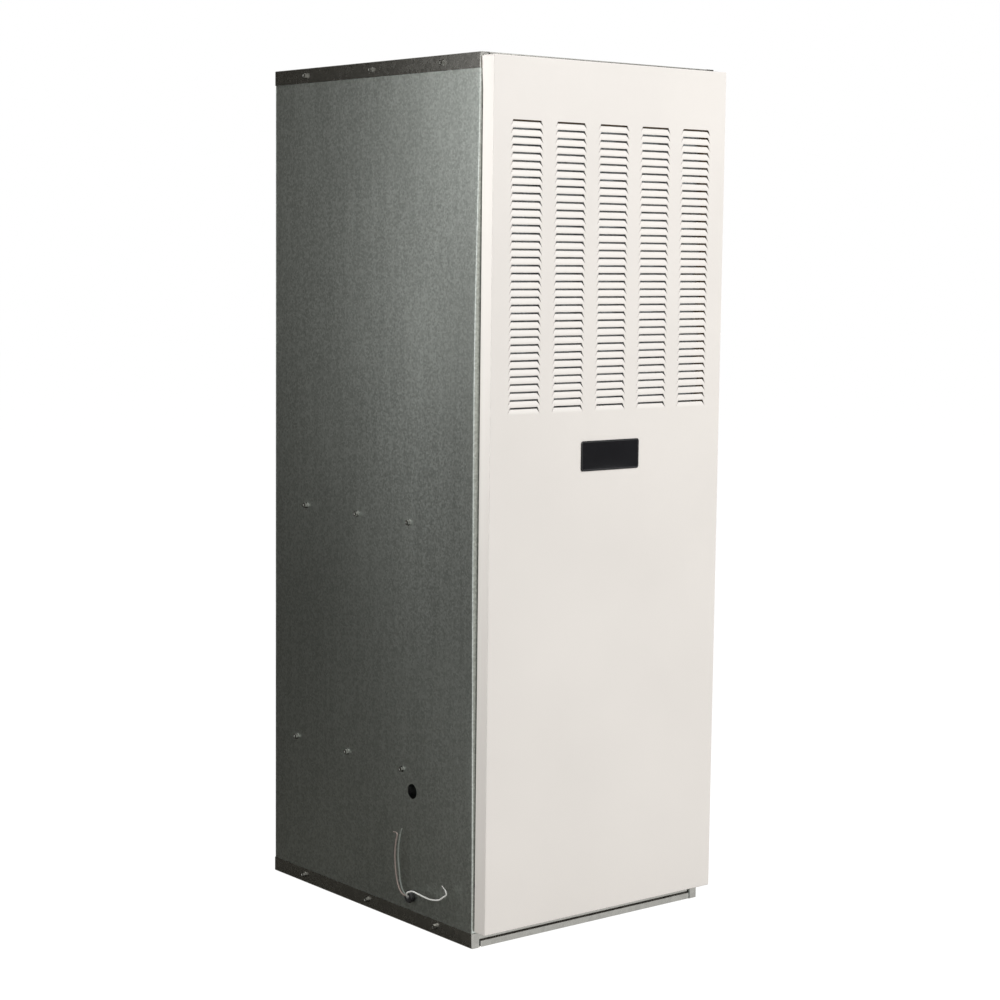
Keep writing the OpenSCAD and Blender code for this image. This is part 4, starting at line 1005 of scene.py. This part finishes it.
def screw_rows():
    """Rows of screws: their places along x, y and z, and which way their heads point."""
    rows = []
    for side in (-1, 1):
        for x, z, ys in ((HALF, CAP_Z, (98.5, 295.5, 492.5)), (HALF, BASE_Z, (98.5, 295.5, 492.5)),
                         (PANEL_OUT, DECK_Z, (183, 334, 490)), (PANEL_OUT, RAIL_Z, (197, 360, 519))):
            rows.append(((side * x,), ys, (z,), (side, 0, 0)))
    forward, back, up = (0, -1, 0), (0, 1, 0), (0, 0, 1)
    return rows + [
        ((-170, 0, 170), (DEPTH,), (BASE_Z, CAP_Z), back),
        ((-CORNER_X, CORNER_X), (589.7,), (400, 760, 1100), back),
        ((-200, 0, 200), (183,), (BASE_Z, DECK_Z), forward),
        ((-200, 200), (200,), (DECK_TOP,), up),
        ((-181, 181), (261, 366, 481), (DECK_TOP,), up),
        ((-122, 122), (260, 442.9), (886,), up),
        ((-224, 224), (61,), (719, 872), forward)]


class FURNACE_OT_screws(bpy.types.Operator):
    """Hexagon washer-head screws: one is modelled and copied to every seat"""

    bl_idname = "furnace.screws"
    bl_label = "Sheet-metal screws"

    def execute(self, context):
        turns = Random(7)
        first = add_screw()
        copies = []
        for xs, ys, zs, out in screw_rows():
            lean = Vector(out).to_track_quat("Z", "Y").to_matrix().to_4x4()
            for at in product(xs, ys, zs):
                copy = copy_of(first)
                spin = Matrix.Rotation(turns.uniform(0, math.pi / 3), 4, "Z")
                copy.data.transform(Matrix.Translation(place(*at)) @ lean @ spin)
                copies.append(copy)
        bpy.data.objects.remove(first)
        screws = join("screws", *copies)
        dress(screws, "zinc_screws", "cabinet", "sheet_screws")
        return {"FINISHED"}


# Door

DOOR_X = (-249.4, 257.0)
DOOR_Z = (28.3, 1447.8)
DOOR_FACE = -28.3
DOOR_REAR = -0.3
FLARE = 3.2
FLARE_FROM = 1385
HEM = 16.0
ROWS = 37
COLUMNS = 5
PITCH_X = 92.1
PITCH_Z = 12.7
FIELD_X = (-226.45, 234.05)
FIELD_Z = (879.25, 1349.15)
FOLD_Z = 880.0
FOLD_W = 68.0
FREE_W = 57.5
TAB = 11.2
SLOT = 2.8
TAB_GAP = 3.0
TAB_STEPS = (0.0, 1.0, 2.2, 3.8, 6.0)
TAB_NEAR = 20.0


class FURNACE_OT_door(bpy.types.Operator):
    """The door: one louvre cell is shaped and repeated, then the face and its folds grow round it"""

    bl_idname = "furnace.door"
    bl_label = "Door"

    def execute(self, context):
        door = self.add_cell()
        repeat(door, ROWS, (0, 0, PITCH_Z), 0.05)
        repeat(door, COLUMNS, (PITCH_X, 0, 0), 0.05)
        self.grow_pan(door)

        def flare(x, y, z):
            """The left return's upper rear corner stands out a little."""
            rise = max(0.0, (z - FLARE_FROM) / (DOOR_Z[1] - FLARE_FROM))
            return rise * (y - DOOR_FACE) / (DOOR_REAR - DOOR_FACE) if x < DOOR_X[0] + 0.1 else 0.0
        swell(door, "X", -FLARE, flare)
        thicken(door)
        smooth(door, 32)
        dress(door, "door_paint", "door", "door_panel")
        return {"FINISHED"}

    def add_cell(self):
        """The bottom left cell: a trapezoid is cut free on three sides and bent in behind the face."""
        middle = FIELD_X[0] + PITCH_X / 2
        taper = (FOLD_W - FREE_W) / 2
        cell = add_sheet("door_pan", (FIELD_X[0], DOOR_FACE, FIELD_Z[0]), (PITCH_X, 0, 0), (0, 0, PITCH_Z))
        edit(cell, "FACE")
        cut(2, FOLD_Z)
        cut(2, FOLD_Z + TAB)
        in_row = lambda at, normal: FOLD_Z < at[2] < FOLD_Z + TAB
        in_tab = lambda at, normal: in_row(at, normal) and abs(at[0] - middle) < TAB_NEAR
        corners = [(side, (middle + side * FOLD_W / 2, DOOR_FACE, FOLD_Z)) for side in (-1, 1)]
        for side, corner in corners:
            pick_faces(in_row)
            slice_at(corner, (TAB, 0, side * taper))
        pick_faces(in_tab)
        bpy.ops.mesh.split()
        slice_at((middle, DOOR_FACE, FOLD_Z + TAB - SLOT), (0, 0, 1), clear_outer=True)
        for side, corner in corners:
            pick_faces(in_tab)
            slice_at(corner, (side * TAB, 0, taper + TAB_GAP), clear_outer=True)
        for step in TAB_STEPS[1:]:
            pick_faces(in_tab)
            slice_at((middle, DOOR_FACE, FOLD_Z + step), (0, 0, 1))
        self.bend_tab(middle)
        bpy.ops.mesh.select_all(action="SELECT")
        bpy.ops.mesh.remove_doubles(threshold=0.00002)
        done()
        return cell

    def bend_tab(self, middle):
        """Turns what lies beyond each of the tab's hinge lines in by an equal share of its lean."""
        share = sizes().louvre_lean / len(TAB_STEPS)
        hinge = Vector((middle, DOOR_FACE, FOLD_Z))
        reaches = [b - a for a, b in zip(TAB_STEPS, TAB_STEPS[1:])] + [0]
        for k, reach in enumerate(reaches, 1):
            pick_faces(lambda at, normal: hinge.z < at[2] < FOLD_Z + TAB and abs(at[0] - middle) < TAB_NEAR)
            bpy.ops.transform.rotate(value=share, orient_axis="X", center_override=place(*hinge))
            hinge += Vector((0, reach * math.sin(share * k), reach * math.cos(share * k)))

    def grow_pan(self, door):
        """Extends the louvred field to the whole face and folds the returns and hems."""
        edit(door, "EDGE")
        for axis, field, edge in ((0, FIELD_X, DOOR_X), (2, FIELD_Z, DOOR_Z)):
            for start, end in zip(field, edge):
                pick_edges(on_plane(axis, start))
                fold([(end - start) * (k == axis) for k in range(3)])
        sides, ends, rear = on_plane(0, *DOOR_X), on_plane(2, *DOOR_Z), on_plane(1, DOOR_REAR)
        pick_edges(either(sides, ends))
        fold((0, DOOR_REAR - DOOR_FACE, 0))
        for x, inwards in zip(DOOR_X, (HEM, -HEM)):
            pick_edges(both(on_plane(0, x), rear))
            fold((inwards, 0, 0))
        for z in (FLARE_FROM, (FLARE_FROM + DOOR_Z[1]) / 2):
            cut(2, z)
        pick_edges(either(both(either(sides, ends), on_plane(1, DOOR_FACE)), both(sides, ends),
                          both(sides, rear)))
        round_folds(sizes().door_bend, 4)
        done()


# Badge plate

BADGE_CORNER = 4.0
BADGE_EDGE = 1.5
BADGE_RIM = 2.6
BADGE_DOME = 0.9


class FURNACE_OT_badge(bpy.types.Operator):
    """The bare domed plate under the louvres"""

    bl_idname = "furnace.badge"
    bl_label = "Badge plate"

    def execute(self, context):
        low, high = node_box("door_badge")
        plate = add_block("badge_plate", (low[0], high[1] - BADGE_EDGE, low[2]), high)
        edit(plate, "EDGE")
        pick_edges(lambda a, b: abs(a[0] - b[0]) < 0.01 and abs(a[2] - b[2]) < 0.01)
        round_folds(BADGE_CORNER * MM, 6)
        bpy.ops.mesh.select_mode(type="FACE")
        pick_faces(facing(1, -1))
        inset((1.3, 0.0), (0.4, -0.5), (0.5, 0.0), (0.4, 0.4))
        mid = [(a + b) / 2 for a, b in zip(low, high)]
        half_x = (high[0] - low[0]) / 2 - BADGE_RIM
        half_z = (high[2] - low[2]) / 2 - BADGE_RIM
        field = lambda at, normal: (normal.y < -0.9 and abs(at[0] - mid[0]) < half_x
                                    and abs(at[2] - mid[2]) < half_z)
        for axis, half, count in ((0, half_x, 14), (2, half_z, 8)):
            for k in range(1, count):
                at = list(mid)
                at[axis] += half * (2 * k / count - 1)
                pick_faces(field)
                slice_at(at, (axis == 0, 0, axis == 2))
        done()

        def dome(x, y, z):
            u = min(1.0, abs(x - mid[0]) / half_x)
            v = min(1.0, abs(z - mid[2]) / half_z)
            return (1 - u ** 4) * (1 - v ** 2) if y < high[1] - 1 else 0.0
        swell(plate, "Y", -BADGE_DOME, dome)
        soften(plate, 0.3, 40)
        smooth(plate, 40)
        dress(plate, "badge_black", "door", "door_badge")
        return {"FINISHED"}


# Bushing

BUSHING_D = 22.0
NECK_SHARE = 9.4 / 11


class FURNACE_OT_bushing(bpy.types.Operator):
    """The black bushing that the leads leave by"""

    bl_idname = "furnace.bushing"
    bl_label = "Bushing"

    def execute(self, context):
        ends = [(-PANEL_OUT + x, BUSHING_Y, BUSHING_Z) for x in (SHEET + 6, -8)]
        head = add_rod("bushing", *ends, BUSHING_D / 2, 40)
        edit(head, "FACE")
        for x in (SHEET, 0, -5.5):
            cut(0, -PANEL_OUT + x)
        self.squeeze_neck(-PANEL_OUT + SHEET / 2)
        pick_faces(facing(0, -1))
        bpy.ops.transform.resize(value=(1, 0.86, 0.86))
        inset((1.2, 0.4), (4.2, -0.8))
        bpy.ops.mesh.delete(type="FACE")
        pick_faces(facing(0, 1))
        inset((6.9, 0.0))
        bpy.ops.mesh.delete(type="FACE")
        bpy.ops.mesh.select_mode(type="EDGE")
        bpy.ops.mesh.select_all(action="DESELECT")
        bpy.ops.mesh.select_non_manifold()
        bpy.ops.mesh.bridge_edge_loops()
        bpy.ops.mesh.select_all(action="SELECT")
        bpy.ops.mesh.normals_make_consistent(inside=False)
        done()
        soften(head, 0.5, 40)
        smooth(head, 40)
        dress(head, "black_plastic", "cabinet", "side_bushing")
        return {"FINISHED"}

    def squeeze_neck(self, x):
        """Narrows the neck that sits in the panel's hole."""
        pick_faces(lambda at, normal: abs(at[0] - x) < SHEET / 2 - 0.1 and abs(normal.x) < 0.5)
        bpy.ops.transform.resize(value=(1, NECK_SHARE, NECK_SHARE))


# Insulation

SLAB_RISE = ((282.7, 670.0), (701.0, 1427.6))
SLAB_GRID = 20.0
SIDE_FROM = 190.0
PIN_PITCH = 190.0
PIN_INSET = 45.0
PULL_SPREAD = 1800.0
PULL_DEPTH = 0.3
WASHER_TOP = 0.16


def spaced(span, pitch, margin):
    """Even places between two ends, no further apart than a pitch."""
    a, b = span[0] + margin, span[1] - margin
    count = max(1, math.ceil((b - a) / pitch))
    return [a + (b - a) * k / count for k in range(count + 1)]


class FURNACE_OT_liners(bpy.types.Operator):
    """Foil-faced glass wool: slabs with soft edges, drawn in where pins and washers hold them"""

    bl_idname = "furnace.liners"
    bl_label = "Insulation"

    def execute(self, context):
        for side, name in ((-1, "liner_left"), (1, "liner_right")):
            low, high = node_box(name)
            wall, face = (low[0], high[0]) if side < 0 else (high[0], low[0])
            spans = ((SIDE_FROM, high[1]), (low[1], high[1]))
            self.add_liner(name, 0, wall, face, spans)
        low, high = node_box("liner_back")
        self.add_liner("liner_back", 1, high[1], low[1], ((low[0], high[0]),) * 2)
        return {"FINISHED"}

    def add_liner(self, node, axis, wall, face, spans):
        parts = []
        for span, rise in zip(spans, SLAB_RISE):
            parts += self.add_slab(axis, wall, face, span, rise)
        liner = join(node + "_wool", *parts)
        smooth(liner, 50)
        dress(liner, "foil_insulation", "cabinet", node)

    def add_slab(self, axis, wall, face, span, rise):
        """A slab and its washers. The axis is the one across it, the span lies along its wall."""
        along = 1 - axis
        low, high = [0, 0, rise[0]], [0, 0, rise[1]]
        low[axis], high[axis] = sorted((wall, face))
        low[along], high[along] = span
        slab = add_block("slab", low, high)
        edit(slab, "EDGE")
        for way, (a, b) in ((along, span), (2, rise)):
            count = round((b - a) / SLAB_GRID)
            for k in range(1, count):
                cut(way, a + (b - a) * k / count)
        done()
        pins = list(product(spaced(span, PIN_PITCH, PIN_INSET), spaced(rise, PIN_PITCH, PIN_INSET)))

        def pull(*at):
            if abs(at[axis] - face) > 0.1:
                return 0.0
            near = sum(math.exp(-((at[along] - u) ** 2 + (at[2] - v) ** 2) / PULL_SPREAD) for u, v in pins)
            wave = 0.1 * (1 + math.sin(at[along] / 37 + at[2] / 53))
            return min(1.0, 0.8 * near + wave)
        swell(slab, "XY"[axis], (wall - face) * PULL_DEPTH, pull)
        soften(slab, 3.5, 60, 3)
        return [slab] + [self.add_washer(axis, along, wall, face, u, v) for u, v in pins]

    def add_washer(self, axis, along, wall, face, u, v):
        """A dished washer on its pin."""
        inner, outer = [0, 0, v], [0, 0, v]
        inner[along] = outer[along] = u
        inner[axis] = face + (wall - face) * PULL_DEPTH
        outer[axis] = face + (wall - face) * WASHER_TOP
        washer = add_rod("washer", inner, outer, 17, 20)
        edit(washer, "FACE")
        pick_faces(facing(axis, 1 if face > wall else -1))
        inset((1.2, 0.4), (6.0, -1.0), (7.0, -0.1), (0.6, 1.2))
        done()
        return washer


# Heating elements

COIL_D = 14.0
COIL_PITCH = 24.0
COIL_RUNS = 4
WIRE_D = 1.6
TERMINAL_D = 5.0
TERMINAL_OUT = 14.0
THREAD = 0.9
COIL_SETBACK = 20.0
TURN_STEPS = 10


class FURNACE_OT_elements(bpy.types.Operator):
    """Three elements of wound resistance wire with their terminals"""

    bl_idname = "furnace.elements"
    bl_label = "Heating wire"

    def execute(self, context):
        for k in (1, 2, 3):
            node = "element_%d_coil" % k
            low, high = node_box(node)
            x, z = (low[0] + high[0]) / 2, (low[2] + high[2]) / 2
            start = low[1] + TERMINAL_OUT + COIL_SETBACK
            end = high[1] - (COIL_PITCH + COIL_D) / 2
            parts = [self.add_wire(x, start, end, z)]
            for side in (-1, 1):
                parts += self.add_terminal(x, low[1], start, z + side * (COIL_RUNS - 1) / 2 * COIL_PITCH)
            coil = join("element_%d_wire" % k, *parts)
            smooth(coil, 50)
            dress(coil, "resistance_wire", "cabinet", node)
        return {"FINISHED"}

    def centre_line(self, start, end, z):
        """Places and directions along the runs and the half rings that join them, in the y-z plane."""
        step = (end - start) / (sizes().wire_turns * TURN_STEPS)
        ring = COIL_PITCH / 2
        line = []
        for run in range(COIL_RUNS):
            side = 1 if run % 2 == 0 else -1
            first = start if side > 0 else end
            height = z + (run - (COIL_RUNS - 1) / 2) * COIL_PITCH
            count = round((end - start) / step)
            line += [(first + side * (end - start) * i / count, height, side, 0.0) for i in range(count)]
            if run < COIL_RUNS - 1:
                last = end if side > 0 else start
                count = round(math.pi * ring / step)
                for i in range(count):
                    t = math.pi * i / count
                    line.append((last + side * ring * math.sin(t), height + ring * (1 - math.cos(t)),
                                 side * math.cos(t), math.sin(t)))
        return line

    def add_wire(self, x, start, end, z):
        """The wire, wound round its centre line."""
        let_go()
        line = self.centre_line(start, end, z)
        points = []
        for i, (y, height, dy, dz) in enumerate(line):
            turn = 2 * math.pi * i / TURN_STEPS
            reach = (COIL_D - WIRE_D) / 2 * min(1, i / TURN_STEPS, (len(line) - 1 - i) / TURN_STEPS)
            points.append(place(x + reach * math.cos(turn), y - reach * math.sin(turn) * dz,
                                height + reach * math.sin(turn) * dy))
        take(add_curve("wire", points, WIRE_D, 1))
        bpy.ops.object.convert(target="MESH")
        return bpy.context.active_object

    def add_terminal(self, x, tip, start, z):
        """A threaded pin with its nut."""
        pin = add_rod("pin", (x, tip, z), (x, start + 1, z), TERMINAL_D / 2, 16)
        edit(pin, "FACE")
        for k in range(1, 10):
            cut(1, tip + THREAD * k)
        pick_faces(lambda at, normal: abs(normal.y) < 0.5 and at[1] < tip + 10 * THREAD
                   and round((at[1] - tip) / THREAD - 0.5) % 2 == 1)
        inset((0.12, -0.3))
        done()
        nut = add_rod("nut", (x, tip + 6, z), (x, tip + 9.5, z), 4.6, 6)
        soften(nut, 0.4)
        return [pin, nut]


# Air filter

PLEATS = 30
PLEAT_BEND = 1.4
FLEECE_T = 1.2
FLEECE_CUTS = 24
SWAY = 1.4
GRID_D = 0.8
GRID_PITCH = 25.4


class FURNACE_OT_filter(bpy.types.Operator):
    """Pleated fleece in the board frame, with the wire grid that backs it"""

    bl_idname = "furnace.filter"
    bl_label = "Filter"

    def execute(self, context):
        low, high = node_box("filter_media")
        self.add_fleece(low, high)
        self.add_grid(low, high)
        return {"FINISHED"}

    def add_fleece(self, low, high):
        """One pleat is folded and repeated up the frame."""
        pitch = (high[2] - low[2]) / PLEATS
        ridge = low[2] + pitch / 2
        rear = high[1] - FLEECE_T
        fleece = add_sheet("fleece", (low[0], low[1], low[2]), (high[0] - low[0], 0, 0), (0, 0, pitch))
        edit(fleece, "EDGE")
        cut(2, ridge)
        for k in range(1, FLEECE_CUTS):
            cut(0, low[0] + (high[0] - low[0]) * k / FLEECE_CUTS)
        pick_edges(on_plane(2, ridge))
        bpy.ops.transform.translate(value=(0, (rear - low[1]) * MM, 0))
        done()
        repeat(fleece, PLEATS, (0, 0, pitch), 0.1)
        edit(fleece, "EDGE")
        inner = lambda z: low[2] + 1 < z < high[2] - 1
        pick_edges(lambda a, b: abs(a[2] - b[2]) < 0.01 and inner(a[2]))
        round_folds(PLEAT_BEND * MM, 3)
        done()
        sway = lambda x, y, z: 0.5 + 0.5 * math.sin(x / 23 + z / 31) if inner(z) else 0.5
        swell(fleece, "Z", SWAY, sway)
        fleece.data.transform(Matrix.Translation((0, 0, -SWAY / 2 * MM)))
        thicken(fleece, FLEECE_T)
        smooth(fleece, 60)
        dress(fleece, "filter_fleece", "filter", "filter_media")

    def add_grid(self, low, high):
        """Thin wires across the fleece's rear face."""
        y = high[1] + GRID_D / 2
        ends = [((x, y, low[2]), (x, y, high[2])) for x in spaced((low[0], high[0]), GRID_PITCH, 0.5)]
        ends += [((low[0], y, z), (high[0], y, z)) for z in spaced((low[2], high[2]), GRID_PITCH, 0.5)]
        grid = join("filter_grid", *(add_rod("wire", a, b, GRID_D / 2, 6) for a, b in ends))
        smooth(grid, 70)
        dress(grid, "spring_steel", "filter")


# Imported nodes: round ones are welded and smoothed, the others keep their own shape

ROUND = {
    "inner_steel": ["blower_housing", "inlet_ring_left", "inlet_ring_right", "motor_band", "blower_wheel"],
    "dark_steel": ["motor"],
    "capacitor_can": ["capacitor"],
    "cable_jacket": ["control_cable"],
}


class FURNACE_OT_blower(bpy.types.Operator):
    """The blower with its motor and capacitor, and the control cable, welded and smoothed"""

    bl_idname = "furnace.blower"
    bl_label = "Blower"

    def execute(self, context):
        for slot, names in ROUND.items():
            for name in names:
                self.add_round(name, slot)
        return {"FINISHED"}

    def add_round(self, name, slot):
        """A copy of a node with its seams welded and its curves smooth."""
        node = frame["nodes"][name]
        body = node.parent.name.split(":")[1]
        piece = copy_of(node)
        piece.name = piece.data.name = name + "_round"
        piece.parent = None
        piece.matrix_world = Matrix.Identity(4)
        edit(piece)
        bpy.ops.mesh.select_all(action="SELECT")
        bpy.ops.mesh.remove_doubles(threshold=0.00001)
        bpy.ops.mesh.customdata_custom_splitnormals_clear()
        bpy.ops.mesh.dissolve_limited(angle_limit=math.radians(0.5))
        done()
        smooth(piece, 32)
        dress(piece, slot, body, name)


KEPT = {
    "inner_steel": [
        "deck", "coil_rail_left", "coil_rail_right", "plenum_sill", "plenum_panel", "heater_box",
        "element_1_rack", "element_2_rack", "element_3_rack", "control_tray", "control_cover",
        "breaker_bracket", "capacitor_strap", "wheel_blades", "filter_rails"],
    "white_ceramic": ["element_insulators"],
    "black_plastic": [
        "limit_discs", "breaker_1_case", "breaker_2_case", "terminal_strip", "tray_grommet"],
    "handle_plastic": ["breaker_1_handle", "breaker_2_handle"],
    "ivory_plastic": ["sequencers", "fan_relay", "cable_clips"],
    "dark_steel": ["transformer"],
    "brass_lug": ["ground_lug"],
    "spring_steel": ["door_clips", "door_studs", "filter_bail", "motor_shaft"],
    "filter_board": ["filter_frame"],
}


class FURNACE_OT_kept(bpy.types.Operator):
    """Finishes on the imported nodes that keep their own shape"""

    bl_idname = "furnace.kept"
    bl_label = "Packed nodes' finishes"

    def execute(self, context):
        for slot, names in KEPT.items():
            for name in names:
                for holder in frame["nodes"][name].material_slots:
                    holder.material = finish_of(slot)
        return {"FINISHED"}


# Panel and run

PARTS = (
    FURNACE_OT_stage,
    FURNACE_OT_leads,
    FURNACE_OT_side_panels,
    FURNACE_OT_back_panel,
    FURNACE_OT_top_cap,
    FURNACE_OT_base_pan,
    FURNACE_OT_screws,
    FURNACE_OT_door,
    FURNACE_OT_badge,
    FURNACE_OT_bushing,
    FURNACE_OT_liners,
    FURNACE_OT_elements,
    FURNACE_OT_filter,
    FURNACE_OT_blower,
    FURNACE_OT_kept,
)


class FURNACE_PT_parts(bpy.types.Panel):
    """The furnace's pieces, its sizes and its colours"""

    bl_idname = "FURNACE_PT_parts"
    bl_label = "Electric furnace"
    bl_space_type = "VIEW_3D"
    bl_region_type = "UI"
    bl_category = "Furnace"

    def draw(self, context):
        scene = context.scene
        for title, group in (("Sizes", scene.furnace_sizes), ("Colours", scene.furnace_colours),
                             ("Stage", scene.furnace_stage)):
            box = self.layout.box()
            box.label(text=title)
            for name in group.__annotations__:
                box.prop(group, name)
        for part in PARTS:
            self.layout.operator(part.bl_idname)


GROUPS = (FurnaceSizes, FurnaceColours, FurnaceStage)


def register():
    for kind in GROUPS + PARTS + (FURNACE_PT_parts,):
        bpy.utils.register_class(kind)
    bpy.types.Scene.furnace_sizes = PointerProperty(type=FurnaceSizes)
    bpy.types.Scene.furnace_colours = PointerProperty(type=FurnaceColours)
    bpy.types.Scene.furnace_stage = PointerProperty(type=FurnaceStage)


def unregister():
    del bpy.types.Scene.furnace_stage
    del bpy.types.Scene.furnace_colours
    del bpy.types.Scene.furnace_sizes
    for kind in reversed(GROUPS + PARTS + (FURNACE_PT_parts,)):
        bpy.utils.unregister_class(kind)


def main():
    register()
    for part in PARTS:
        group, name = part.bl_idname.split(".")
        getattr(getattr(bpy.ops, group), name)()
    let_go()


if __name__ == "__main__":
    main()
